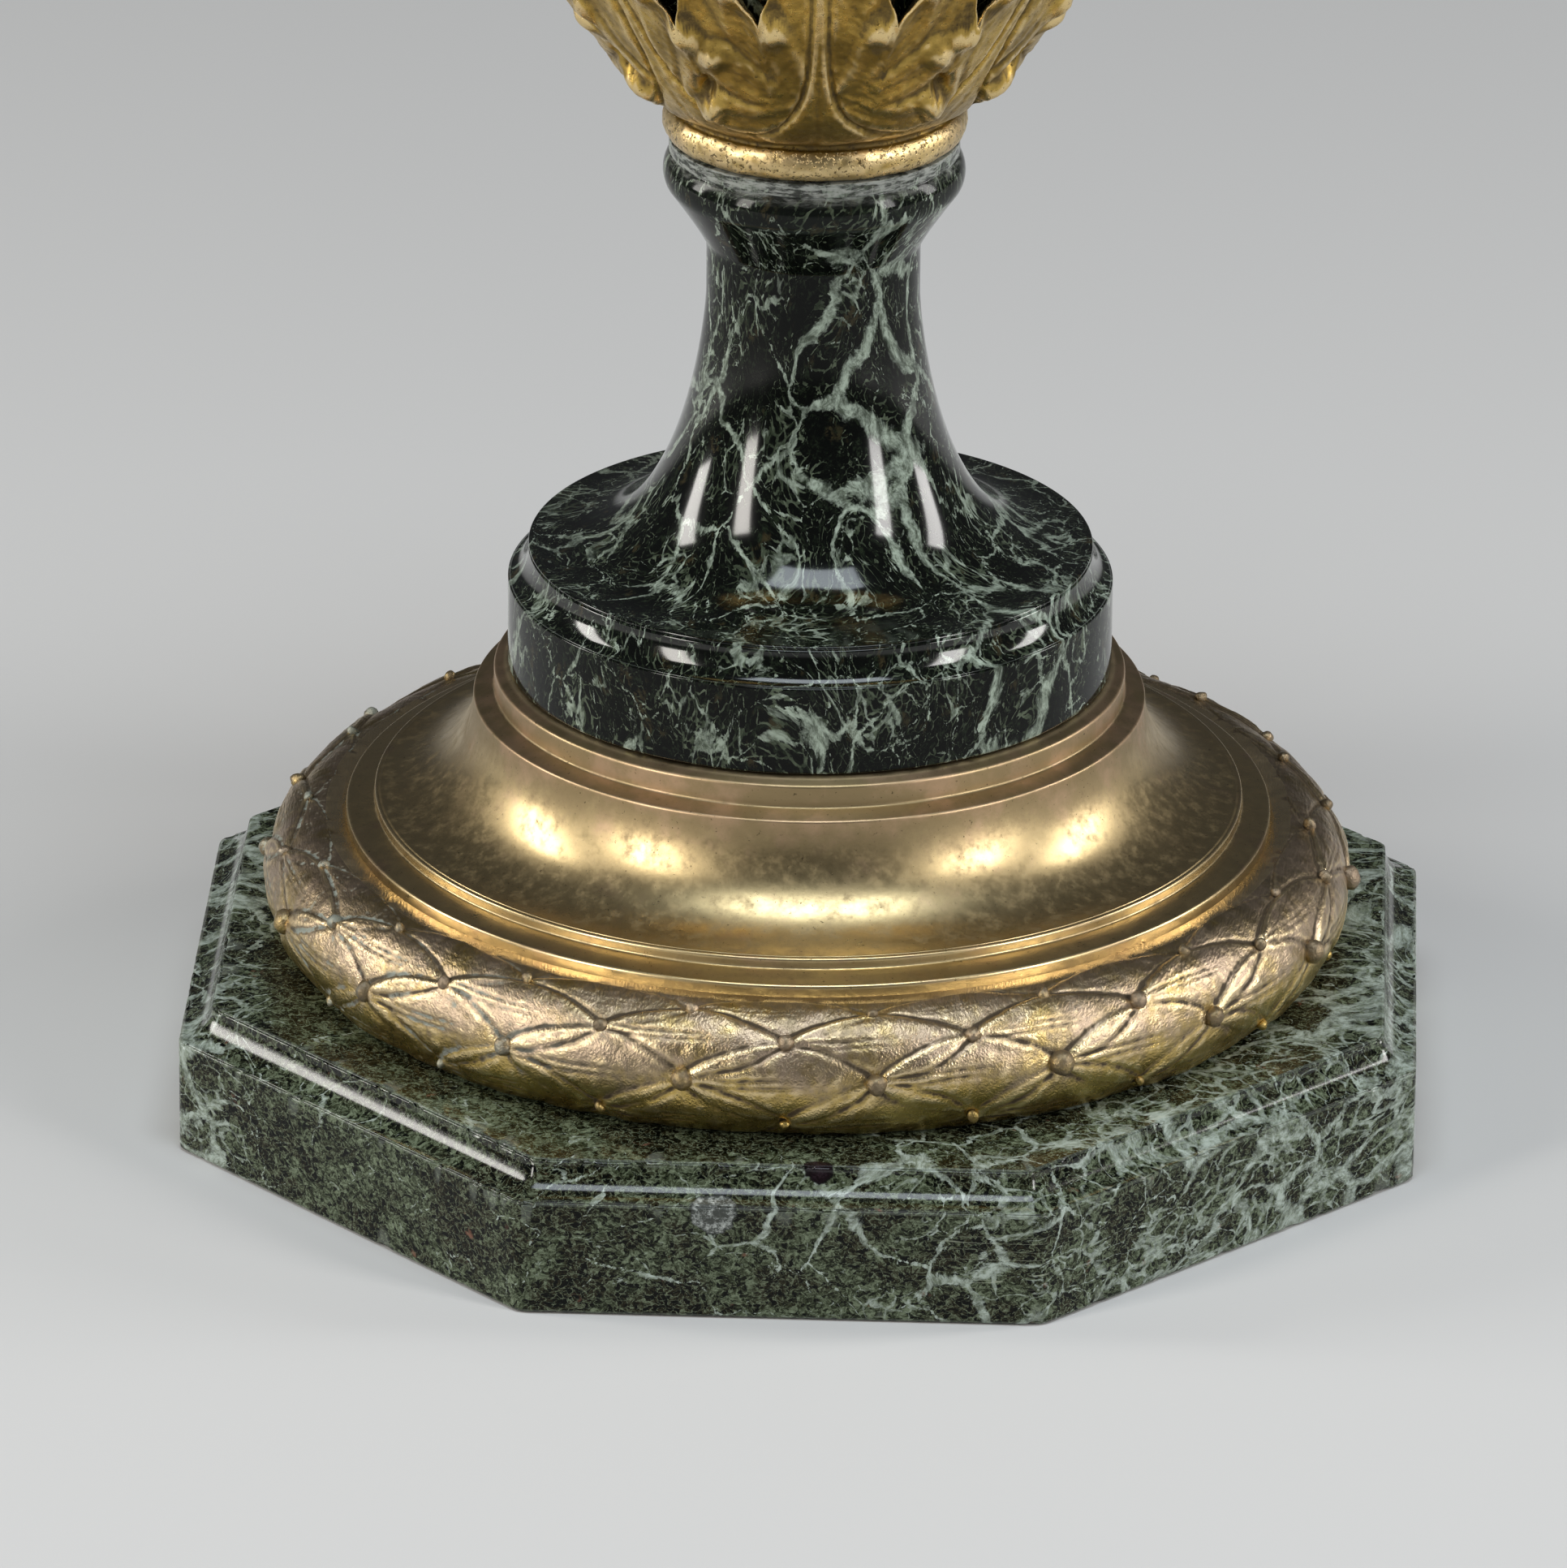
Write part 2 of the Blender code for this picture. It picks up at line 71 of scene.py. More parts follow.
def roundedProfile(corners, longest=0.6, arcSteps=6, guard=0.12):
    # each (radius, height, rounding) corner becomes a parabola arc between its two sides, with a guard point
    # beyond each end; stretches longer than the longest step are cut up evenly
    path = []
    for i, (radius, height, rounding) in enumerate(corners):
        here = np.array([radius, height], float)
        if rounding == 0 or i in (0, len(corners) - 1):
            path.append(here)
            continue
        before = np.array(corners[i - 1][:2], float) - here
        after = np.array(corners[i + 1][:2], float) - here
        before /= np.linalg.norm(before)
        after /= np.linalg.norm(after)
        half = math.acos(max(-1.0, min(1.0, float(before @ after)))) / 2
        reach = rounding / math.tan(half)
        share = np.linspace(0, 1, arcSteps + 1)[:, None]
        arc = here + before * reach * (1 - share) ** 2 + after * reach * share ** 2
        path += [here + before * (reach + guard), *arc, here + after * (reach + guard)]
    path = np.array(path)
    pieces = [path[:1]]
    for low, high in zip(path[:-1], path[1:]):
        count = max(1, math.ceil(np.linalg.norm(high - low) / longest))
        pieces.append(low + (high - low) * (np.arange(1, count + 1) / count)[:, None])
    return np.concatenate(pieces)


def swung(radius, angle, height):
    # a radius swung round the axis: (radius cos, radius sin, height)
    return np.stack([radius * np.cos(angle), radius * np.sin(angle), height + 0 * angle], -1)


def turnedGrid(profile, columns):
    return swung(profile[:, :1], np.arange(columns) * 2 * math.pi / columns, profile[:, 1:])


def gridNormals(grid):
    # cross product of the step round the ring and the step up the profile, made unit length
    around = np.roll(grid, -1, 1) - np.roll(grid, 1, 1)
    normal = np.cross(around, np.gradient(grid, axis=0))
    return normal / np.maximum(np.linalg.norm(normal, axis=-1), 1e-9)[..., None]


def eased(values):
    # each value shares a quarter with the neighbour on either side, round the ring and then up the profile
    values = (np.roll(values, 1, 1) + 2 * values + np.roll(values, -1, 1)) / 4
    values[1:-1] = (values[:-2] + 2 * values[1:-1] + values[2:]) / 4
    return values


def hollowMask(grid, reachRows, reachColumns, scale):
    # how far the neighbours' average lies outside each point: above 0 in hollows, below on edges
    blurred = grid
    for axis, reach in ((0, reachRows), (1, reachColumns)):
        if reach == 0:
            continue
        total = np.zeros_like(grid)
        margins = [(reach, reach) if a == axis else (0, 0) for a in range(3)]
        padded = np.pad(blurred, margins, mode="wrap" if axis == 1 else "edge")
        for shift in range(2 * reach + 1):
            rows, columns = grid.shape[:2]
            total += padded[shift:shift + rows] if axis == 0 else padded[:, shift:shift + columns]
        blurred = total / (2 * reach + 1)
    return np.clip(((blurred - grid) * gridNormals(grid)).sum(-1) / scale, -1, 1)


def gridFaces(rows, columns, lowPole=False, highPole=False, ringClosed=False):
    # one four-sided face for each cell; the columns close into a ring, and so do the rows if ringClosed. A
    # pole, numbered after the grid's points, closes an end with a fan
    index = np.arange(rows * columns).reshape(rows, columns)
    first, last = index[0], index[-1]
    index = np.hstack([index, index[:, :1]])
    if ringClosed:
        index = np.vstack([index, index[:1]])
    cells = np.stack([index[:-1, :-1], index[:-1, 1:], index[1:, 1:], index[1:, :-1]], -1)
    faces = [cells.reshape(-1, 4)]
    tip = rows * columns
    if lowPole:
        faces.append(np.stack([np.roll(first, -1), first, np.full(columns, tip)], -1))
        tip += 1
    if highPole:
        faces.append(np.stack([last, np.roll(last, -1), np.full(columns, tip)], -1))
    return faces


def gridMesh(name, grid, hollow, lowPole=None, highPole=None, ringClosed=False):
    # one vertex for each grid point, and one for each pole, which is given by its height on the axis
    poles = [(0, 0, height) for height in (lowPole, highPole) if height is not None]
    points = np.vstack([grid.reshape(-1, 3), *[[pole] for pole in poles]])
    values = np.append(hollow.reshape(-1), np.zeros(len(poles)))
    faces = gridFaces(*grid.shape[:2], lowPole is not None, highPole is not None, ringClosed)
    return meshFrom(name, points, faces, values)


def meshFrom(name, points, faces, values):
    mesh = bpy.data.meshes.new(name)
    mesh.vertices.add(len(points))
    mesh.vertices.foreach_set("co", (points * metresPerUnit).astype(np.float32).ravel())
    corners = np.concatenate([part.ravel() for part in faces])
    sizes = np.concatenate([np.full(len(part), part.shape[1]) for part in faces])
    mesh.loops.add(len(corners))
    mesh.loops.foreach_set("vertex_index", corners.astype(np.int32))
    mesh.polygons.add(len(sizes))
    mesh.polygons.foreach_set("loop_start", np.concatenate([[0], np.cumsum(sizes)[:-1]]).astype(np.int32))
    mesh.update(calc_edges=True)
    mesh.validate()
    mask = mesh.attributes.new("hollow", "FLOAT", "POINT")
    mask.data.foreach_set("value", values.astype(np.float32))
    mesh.shade_smooth()
    return mesh


def placed(name, data):
    thing = bpy.data.objects.new(name, data)
    bpy.context.scene.collection.objects.link(thing)
    return thing


def addPiece(mesh, material, node):
    piece = placed(mesh.name, mesh)
    mesh.materials.append(material)
    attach(piece, "root")
    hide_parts(node)
    print("made", mesh.name, len(mesh.polygons), "faces")


def addGrid(name, grid, reach, material, node, low=None, high=None, ringClosed=False):
    # reach: how many rows and columns the mask of hollows looks across, and its scale
    addPiece(gridMesh(name, grid, hollowMask(grid, *reach), low, high, ringClosed), material, node)


# Shader nodes

class Field:
    # a node's output that adds, subtracts and multiplies as a number does, by way of Math nodes

    def __init__(self, socket):
        self.socket, self.tree = socket, socket.id_data

    def made(self, kind, inputs, output=0, **settings):
        return Field(addNode(self.tree, kind, inputs, **settings).outputs[output])

    def math(self, operation, other=0.0, clamp=False):
        return self.made("ShaderNodeMath", {0: self, 1: other}, operation=operation, use_clamp=clamp)

    def __add__(self, other):
        return self.math("ADD", other)

    def __sub__(self, other):
        return self.math("SUBTRACT", other)

    def __mul__(self, other):
        return self.math("MULTIPLY", other)

    def vector(self, operation, other=(0, 0, 0), output=0):
        return self.made("ShaderNodeVectorMath", {0: self, 1: other}, output, operation=operation)

    def part(self, axis):
        return self.made("ShaderNodeSeparateXYZ", {0: self}, axis)

    def ramp(self, low, high, toLow=0.0, toHigh=1.0):
        # a smooth step from toLow to toHigh as the value goes from low to high
        inputs = {"Value": self, "From Min": low, "From Max": high, "To Min": toLow, "To Max": toHigh}
        return self.made("ShaderNodeMapRange", inputs, interpolation_type="SMOOTHSTEP")

    def blend(self, first, second):
        # the first colour where the value is 0 and the second where it is 1
        return self.made("ShaderNodeMix", {0: self, 6: first, 7: second}, 2, data_type="RGBA")

    def noise(self, scale, detail=3.0, roughness=0.55, output="Fac"):
        inputs = {"Vector": self, "Scale": scale, "Detail": detail, "Roughness": roughness}
        return self.made("ShaderNodeTexNoise", inputs, output)

    def cracks(self, scale):
        # distance to the nearest crack between the stones, in cells
        return self.made("ShaderNodeTexVoronoi", {"Vector": self, "Scale": scale}, "Distance",
                         feature="DISTANCE_TO_EDGE")


def setInputs(node, inputs):
    # links a field, or sets a plain value on the socket itself
    for key, value in inputs.items():
        if isinstance(value, Field):
            value.tree.links.new(value.socket, node.inputs[key])
        else:
            node.inputs[key].default_value = value


def addNode(tree, kind, inputs=None, **settings):
    node = tree.nodes.new(kind)
    for key, value in settings.items():
        setattr(node, key, value)
    setInputs(node, inputs or {})
    return node


def newGroup(name, inputs, outputs):
    # a label's default tells its kind: none for a vector, four numbers for a colour, one for a number
    group = bpy.data.node_groups.new(name, "ShaderNodeTree")
    for side, labels in (("INPUT", inputs), ("OUTPUT", outputs)):
        for label, value in labels.items():
            kind = "Vector" if value is None else "Color" if isinstance(value, tuple) else "Float"
            socket = group.interface.new_socket(label, in_out=side, socket_type="NodeSocket" + kind)
            if value is not None:
                socket.default_value = value
    start = group.nodes.new("NodeGroupInput")
    end = group.nodes.new("NodeGroupOutput")
    return group, {socket.name: Field(socket) for socket in start.outputs if socket.name}, end


black = (0.0, 0.0, 0.0, 1.0)


def buildMarbleGroup():
    # broken marble: dark stones with pale veins in the cracks between them, at three sizes. The cracks are
    # the edges of a cell pattern, bent by two noises, and each size opens only where a slow field lets it
    group, given, end = newGroup("brokenMarble", {
        "Place": None, "Stone Size": 9.0, "Vein Share": 0.5, "Web Share": 0.5, "Web Width": 0.2,
        "Web Rag": 0.5, "Crumb Share": 0.5, "Shard Share": 0.0, "Shard Scale": 1.5, "Rust Share": 0.2,
        "Dark": black, "Green": black, "Web": black, "Vein": black, "Rust": black,
        "Olive": (0.016, 0.013, 0.005, 1),
    }, {"Colour": black})
    place = given["Place"]

    def bent(vector, scale, detail, reach):
        # pushed aside by a noise of three channels
        push = vector.noise(scale, detail, 0.5, "Color").vector("SUBTRACT", (0.5, 0.5, 0.5))
        return vector.vector("ADD", push.vector("MULTIPLY", (reach, reach, reach)))

    warped = bent(bent(place, 0.045, 1.0, 13.0), 0.16, 3.0, 5.5)
    ragged = warped.noise(1.5, 4.0, 0.72)
    slow = place.vector("ADD", (31.0, 7.0, 3.0)).noise(0.06, 2.0)
    middle = place.vector("ADD", (3.0, 17.0, 41.0)).noise(0.17, 2.0)
    size = place.made("ShaderNodeMath", {0: 1.0, 1: given["Stone Size"]}, operation="DIVIDE")

    def veins(scale, widest, field, share, low, high, rag):
        distance = warped.cracks(size * scale) + (ragged - 0.5) * rag
        width = (field + (share - 0.5)).ramp(low, high) * widest
        return distance.ramp(width * 0.4, width, 1.0, 0.0)

    big = veins(1.0, 0.14, slow, given["Vein Share"], 0.34, 0.74, 0.16)
    small = veins(2.7, 0.17, middle, given["Vein Share"], 0.42, 0.76, 0.24)
    web = veins(7.5, given["Web Width"], middle, given["Web Share"], 0.32, 0.72, given["Web Rag"])
    crumb = (ragged + (given["Crumb Share"] - 0.5)).ramp(0.44, 0.60)
    cloud = warped.noise(0.55, 5.0, 0.75).ramp(0.34, 0.66, 0.3, 1.0)
    stone = crumb.blend(given["Dark"], given["Green"])
    stone = (web * 0.9).blend(stone, (cloud * cloud).blend(given["Green"], given["Web"]))
    # shards: cells of one tone each, black, green or pale, roughened by a fine noise and outlined in places
    near = bent(place, 0.55, 3.0, 2.2)
    cells = near.made("ShaderNodeTexVoronoi", {"Vector": near, "Scale": given["Shard Scale"]}, "Color")
    grit = near.noise(2.2, 5.0, 0.75)
    tone = cells.part("X") * 0.22 + grit + (middle - 0.5) * 0.35
    olive = middle.ramp(0.40, 0.58).blend(given["Olive"], given["Green"])
    shards = tone.ramp(0.50, 0.64).blend(given["Dark"], olive)
    shards = tone.ramp(0.60, 0.88).blend(shards, given["Web"])
    seam = near.cracks(given["Shard Scale"]).ramp(0.015, 0.075, 1.0, 0.0) * grit.ramp(0.42, 0.58, 0.0, 0.75)
    stone = given["Shard Share"].blend(stone, seam.blend(shards, given["Web"]))
    rust = (place.noise(0.32) + given["Rust Share"]).ramp(0.8, 0.9) * ragged.ramp(0.44, 0.56)
    stone = rust.blend(stone, given["Rust"])
    # the veins are clouded inside: paler flakes in a green ground
    veinMask = big.math("MAXIMUM", small * 0.8).math("MULTIPLY", cloud, clamp=True)
    flakes = warped.noise(1.1, 5.0, 0.8).ramp(0.36, 0.60, 0.3, 1.0)
    setInputs(end, {"Colour": veinMask.blend(stone, flakes.blend(given["Web"], given["Vein"]))})
    return group


def buildBronzeGroup():
    # gilding over bronze: clean on edges, browned in broad mottles, specked with pits, and dark with old wax
    # or pale with dried polish in hollows
    group, given, end = newGroup("oldGilding", {
        "Place": None, "Hollow": 0.0, "Gold": black, "Tarnish": black, "Copper": black, "Tarnish Share": 0.4,
        "Copper Share": 0.3, "Pit Share": 0.3, "Smoothness": 0.0, "Residue Share": 0.0,
        "Dirt": (0.035, 0.022, 0.01, 1), "Bright": (0.9, 0.72, 0.42, 1), "Residue": (0.34, 0.375, 0.33, 1),
    }, {"Colour": black, "Roughness": 0.0, "Metal": 0.0, "Height": 0.0})
    place, hollow = given["Place"], given["Hollow"]
    broad = place.noise(0.09, 4.0, 0.6)
    mottle = place.vector("ADD", (9.0, 4.0, 27.0)).noise(0.55, 6.0, 0.68)
    field = broad * 0.6 + mottle * 0.4 + hollow * 0.18 + (given["Tarnish Share"] - 0.5)
    tarnish = field.ramp(0.36, 0.66)
    colour = tarnish.blend(given["Gold"], given["Tarnish"])
    field = place.vector("ADD", (70.0, 14.0, 5.0)).noise(0.16, 5.0, 0.62) - hollow * 0.25
    copper = (field + (given["Copper Share"] - 0.5)).ramp(0.42, 0.68, 0.0, 0.8)
    colour = copper.blend(colour, given["Copper"])
    colour = hollow.ramp(-0.55, -0.12, 0.55, 0.0).blend(colour, given["Bright"])
    pits = place.vector("ADD", (1.0, 90.0, 33.0)).noise(2.3, 3.0, 0.6)
    pits = (pits + (given["Pit Share"] - 0.5) * 0.3).ramp(0.60, 0.70)
    colour = (pits * 0.75).blend(colour, given["Dirt"])
    dirt = (hollow + (mottle - 0.5) * 0.7).ramp(0.12, 0.62)
    colour = (dirt * 0.9).blend(colour, given["Dirt"])
    paste = hollow.ramp(0.02, 0.3) * broad.ramp(0.42, 0.56) * mottle.ramp(0.40, 0.56) * given["Residue Share"]
    colour = paste.blend(colour, given["Residue"])
    dirt = dirt.math("MAXIMUM", paste)
    rough = tarnish * 0.12 + dirt * 0.3 + mottle * 0.16
    rough = rough.math("SUBTRACT", given["Smoothness"] - 0.2, clamp=True)
    height = place.noise(4.5, 4.0, 0.7) * 0.35 - pits + mottle * 0.9
    setInputs(end, {"Colour": colour, "Roughness": rough, "Metal": dirt * -0.55 + 1.0, "Height": height})
    return group


marbleGroup = buildMarbleGroup()
bronzeGroup = buildBronzeGroup()


def millimetrePlace(tree, shift=(0, 0, 0), turn=(0, 0, 0), stretch=(1, 1, 1)):
    # object coordinates in millimetres, moved, turned and drawn out
    coordinates = Field(tree.nodes.new("ShaderNodeTexCoord").outputs["Object"])
    return coordinates.made("ShaderNodeMapping", {
        "Vector": coordinates, "Location": shift, "Rotation": [math.radians(a) for a in turn],
        "Scale": [1 / (metresPerUnit * s) for s in stretch]})


def axisRamp(tree, axis, low, high, toLow=0.0, toHigh=1.0):
    # a smooth step between two places along one of the piece's axes, in millimetres
    coordinates = Field(tree.nodes.new("ShaderNodeTexCoord").outputs["Object"])
    return coordinates.part(axis).ramp(low * metresPerUnit, high * metresPerUnit, toLow, toHigh)


def bumpFrom(tree, strength, height):
    inputs = {"Strength": strength, "Distance": 0.2 * metresPerUnit, "Height": height}
    return Field(addNode(tree, "ShaderNodeBump", inputs).outputs[0])


def startMaterial(name, group, finish, values):
    # each piece is cut from its own part of the block, as its finish says
    material = bpy.data.materials.new(name)
    material.use_nodes = True
    tree = material.node_tree
    turn, stretch = finish.get("turn", (0, 0, 0)), finish.get("stretch", (1, 1, 1))
    place = millimetrePlace(tree, finish["shift"], turn, stretch)
    block = addNode(tree, "ShaderNodeGroup", {"Place": place, **values}, node_tree=group)
    hollow = Field(addNode(tree, "ShaderNodeAttribute", attribute_name="hollow").outputs["Fac"])
    return material, tree, tree.nodes["Principled BSDF"], place, block, hollow


def marbleMaterial(name, finish):
    material, tree, shader, place, block, hollow = startMaterial(name, marbleGroup, finish, finish["stone"])
    if "paleSides" in finish:
        share = 0.0
        for start, end, atStart, atEnd in finish["paleSides"]:
            share = axisRamp(tree, "X", start, end, atStart, atEnd).math("MAXIMUM", share)
        setInputs(block, {"Vein Share": share})
    rough = place.noise(0.5, 4.0, 0.7).ramp(0.5, 0.8, 0.0, finish["scuff"]) + finish["roughness"]
    # painted highlight: the edges, where the hollow mask runs below zero, are paled towards the edge
    # highlight colour
    edge = hollow.ramp(-0.7, -0.15, finish["edge"], 0.0)
    colour = edge.blend(Field(block.outputs["Colour"]), finish["edgeHighlightColour"])
    if "paleBand" in finish:  # old white filler in streaks
        low, high, filler = finish["paleBand"]
        streaks = millimetrePlace(tree, stretch=(2.2, 2.2, 0.45)).noise(0.9, 4.0, 0.7)
        band = axisRamp(tree, "Z", low, high) * streaks.ramp(0.40, 0.62, 0.12, 1.0)
        colour = band.blend(colour, filler)
        rough = rough + band * 0.4
    if "scratches" in finish:  # hair lines: a noise drawn out far along one direction, inside a soft box
        middle, (halfWidth, halfHeight), lean, pale = finish["scratches"]
        away = millimetrePlace(tree).vector("SUBTRACT", middle).vector("ABSOLUTE")
        inside = away.part("X").ramp(halfWidth * 0.6, halfWidth, 1.0, 0.0)
        inside = inside * away.part("Z").ramp(halfHeight * 0.7, halfHeight, 1.0, 0.0)
        inside = inside * away.part("Y").ramp(0.5, 1.0, 1.0, 0.0)
        lines = millimetrePlace(tree, (4, 0, 9), (0, lean, 0), (30, 30, 1.1)).noise(1.0, 1.0, 0.5)
        line = (lines - 0.56).math("ABSOLUTE").ramp(0.004, 0.012, 1.0, 0.0)
        colour = (line * (inside * 0.7)).blend(colour, pale)
    for middle, radius, dark, pale in finish.get("grains", ()):  # glassy: a thin dark rim and pale flakes
        reach = millimetrePlace(tree).vector("SUBTRACT", middle).vector("LENGTH", output="Value")
        reach = reach + place.noise(0.6, 2.0) * 1.6
        flakes = place.noise(1.1, 5.0, 0.85).ramp(0.44, 0.66)
        rim = reach.ramp(radius + 0.4, radius + 0.9, 0.0, 0.8)
        grain = rim.blend(flakes.blend(dark, pale), finish["grainRim"])
        colour = reach.ramp(radius + 0.7, radius + 1.0, 1.0, 0.0).blend(colour, grain)
    if finish["bump"] > 0:
        setInputs(shader, {"Normal": bumpFrom(tree, finish["bump"], place.noise(1.6, 3.0, 0.7))})
    if "polishedBand" in finish:
        low, high, weight, fade = finish["polishedBand"]
        band = axisRamp(tree, "Z", low - 0.3, low, 0.0, weight)
        band = band * axisRamp(tree, "Z", high, high + fade, 1.0, 0.0)
        setInputs(shader, {"Coat Weight": band, "Coat Roughness": 0.1})
    setInputs(shader, {"Base Color": colour, "Roughness": rough, "Specular IOR Level": finish["gloss"]})
    return material


def bronzeMaterial(name, finish):
    material, tree, shader, place, block, hollow = startMaterial(name, bronzeGroup, finish, finish["metal"])
    setInputs(block, {"Hollow": hollow})
    if "shares" in finish:
        low, high, below, above = finish["shares"]
        for label, least, most in zip(("Tarnish Share", "Copper Share", "Pit Share"), below, above):
            setInputs(block, {label: axisRamp(tree, "Z", low, high, least, most)})
    if "residue" in finish:
        low, high, most = finish["residue"]
        setInputs(block, {"Residue Share": axisRamp(tree, "X", low, high, most, 0.0)})
    height = Field(block.outputs["Height"])
    if "hatch" in finish:  # fine punched strokes that lean across the leaves
        strokes = millimetrePlace(tree, turn=(25, 35, 20), stretch=(0.28, 1.6, 0.28)).noise(0.9, 2.0)
        height = height + strokes * finish["hatch"]
    sockets = (("Base Color", "Colour"), ("Roughness", "Roughness"), ("Metallic", "Metal"))
    setInputs(shader, {label: Field(block.outputs[source]) for label, source in sockets})
    setInputs(shader, {"Normal": bumpFrom(tree, finish["bump"], height)})
    return material


print("shader groups ready")


# Plinth: a regular octagon with a hollow moulding round its top edge

plinth = {
    "half": 75.0, "face": 14.2, "cove": 4.0, "arris": 0.35, "sideColumns": 100, "cornerSharpness": 260,
    "chipDepth": 0.55, "chipLength": 5.0, "chipRarity": 0.62,
    "finish": {
        "shift": (40, 13, 7), "turn": (8, 12, 25), "stretch": (1.15, 1.15, 0.9), "roughness": 0.12,
        # edge and its colour: the share and colour of a painted highlight along the arrises
        "scuff": 0.3, "edge": 0.25, "edgeHighlightColour": (0.25, 0.28, 0.24, 1), "bump": 0.12, "gloss": 0.16,
        # veins across the block: from here to there, and their share at each end
        "paleSides": ((-74, -42, 0.56, 0.0), (-10, 55, 0.32, 0.55)),
        # clear coat on the moulding: lower and upper height, weight, and how far above it fades
        "polishedBand": (14.3, 17.9, 0.5, 0.2),
        # on the front: middle, half width and half height of the place, lean and colour
        "scratches": ((30.0, -75.0, 8.0), (13.0, 4.0), 42.0, (0.30, 0.33, 0.25, 1)),
        # grains set in the stone: middle, radius, dark and pale colour
        "grains": (((-7.8, -75.0, 13.6), 2.7, (0.05, 0.055, 0.05, 1), (0.40, 0.43, 0.41, 1)),
                   ((4.3, -71.5, 18.0), 1.9, (0.006, 0.003, 0.004, 1), (0.02, 0.012, 0.016, 1))),
        "grainRim": (0.004, 0.005, 0.004, 1),
        "stone": {"Stone Size": 8.0, "Shard Share": 1.0, "Shard Scale": 1.5, "Rust Share": 0.12,
                  "Dark": (0.001, 0.0015, 0.001, 1), "Green": (0.026, 0.033, 0.016, 1),
                  "Web": (0.155, 0.19, 0.125, 1), "Vein": (0.37, 0.43, 0.385, 1),
                  "Rust": (0.16, 0.075, 0.05, 1)},
    },
}


def makePlinth():
    half, face, cove, arris = plinth["half"], plinth["face"], plinth["cove"], plinth["arris"]
    top = face + cove
    corners = [(40.0, 0, 0), (half, 0, arris), (half, face, arris)]
    corners += ellipseArc((half, top), (cove, cove), 268, 182, 14)
    corners += [(half - cove, top, arris), (50.0, top, 0)]
    profile = roundedProfile(corners, longest=1.2)
    # columns crowd towards the corners; eight side planes are blended by a power mean, to round each corner
    step = np.linspace(-1, 1, plinth["sideColumns"], endpoint=False)
    angle = np.radians((np.arange(8)[:, None] * 45 + 22.5 * np.sin(step * math.pi / 2)).ravel())
    facing = np.maximum(np.cos(angle[:, None] - np.radians(np.arange(8) * 45)), 1e-6)
    power = plinth["cornerSharpness"]
    reach = (facing ** power).sum(1) ** (-1 / power)
    grid = swung(profile[:, :1] * reach, angle, profile[:, 1:])
    # chips: the arrises are pushed in where a wavy field along them runs high, most of all at the corners
    edge = np.clip(-hollowMask(grid, 3, 0, 0.10), 0, 1)
    cornerNear = 1 - np.min(np.abs(np.degrees(angle)[:, None] % 45 - 22.5), axis=1) / 22.5
    rough = waveNoise(grid, ((0.6, plinth["chipLength"], 5), (0.4, plinth["chipLength"] / 3, 6)))
    rough += 0.5 * smoothStep(cornerNear, 0.94, 1.0)
    chips = smoothStep(rough, plinth["chipRarity"], plinth["chipRarity"] + 0.5) * edge * plinth["chipDepth"]
    grid = grid - gridNormals(grid) * chips[..., None]
    marble = marbleMaterial("plinthMarble", plinth["finish"])
    addGrid("plinth_block", grid, (3, 0, 0.12), marble, "plinth", 0, top)


# Wreath base: a torus of laurel leaves, and the ledge, dish, collar and lip cast in one with it

wreath = {
    "radius": 57.4, "section": 8.1, "seat": 18.5, "lift": 7.3, "rise": 1.3,
    "leaves": 18, "leafColumns": 56, "rows": 92, "lowestRow": -1.6, "highestRow": 2.9,
    "rowMiddle": 4.0, "rowStep": 35.5, "rowClosing": 3.3, "rowShift": 0.47,
    "leafWidth": 0.97, "tipSink": 0.32, "thickness": 0.36, "crown": 0.5, "lip": 0.12, "veinDepth": 0.2,
    "creaseDepth": 0.05, "outline": 0.2, "berries": {0: 1.35, 1: 0.95, 2: 0.7, -1: 0.65},
    # unevenness: height, wavelength and seed
    "casting": ((0.018, 1.3, 21), (0.03, 3.6, 23), (0.08, 9.0, 22)),
    # the plain wall inside the ring: radius and height
    "innerWall": ((57.0, 33.6), (55.0, 33.0), (54.0, 26.0), (54.0, 18.5), (60.0, 18.5)),
    "finish": {
        "shift": (5, 9, 2), "bump": 0.34, "hatch": 1.8,
        # gold below, rose brown above: two heights, then the shares of tarnish and copper at each
        "shares": (20.0, 29.0, (0.36, 0.14), (0.60, 0.54)),
        # pale residue on one side: from here to there, and its greatest share
        "residue": (-48.0, -20.0, 0.75),
        "metal": {"Gold": (0.57, 0.41, 0.13, 1), "Tarnish": (0.28, 0.22, 0.14, 1),
                  "Copper": (0.45, 0.345, 0.255, 1), "Pit Share": 0.18, "Smoothness": 0.0},
    },
}

dish = {
    "footRadius": 36.8, "lipWidth": 1.7, "collarWidth": 2.5, "dishWidth": 12.1, "ledgeWidth": 3.5,
    "ledgeLevel": 34.9, "ledgeFall": 0.7, "ringRiser": 1.3, "dishRise": 12.5, "collarFall": 0.8,
    "lipRiser": 2.7, "lipFall": 0.6, "under": 30.0, "columns": 360,
    "finish": {
        "shift": (50, 1, 20), "bump": 0.06, "shares": (42.0, 51.0, (0.43, 0.40), (0.72, 0.54)),
        "metal": {"Gold": (0.57, 0.44, 0.23, 1), "Tarnish": (0.33, 0.25, 0.135, 1),
                  "Copper": (0.50, 0.345, 0.22, 1), "Pit Share": 0.36, "Smoothness": -0.02},
    },
}


def wreathSection(row):
    # degrees round the torus section for a row of leaf tips; the rows close up towards the top
    return wreath["rowMiddle"] + wreath["rowStep"] * row - wreath["rowClosing"] * row * row


def leafAcross(along, width):
    # half width of a leaf at a place from -1 at its stalk to 1 at its tip: a lens, blunter than a diamond
    return width * np.maximum(1 - np.abs(along) ** 1.7, 0) ** 0.8


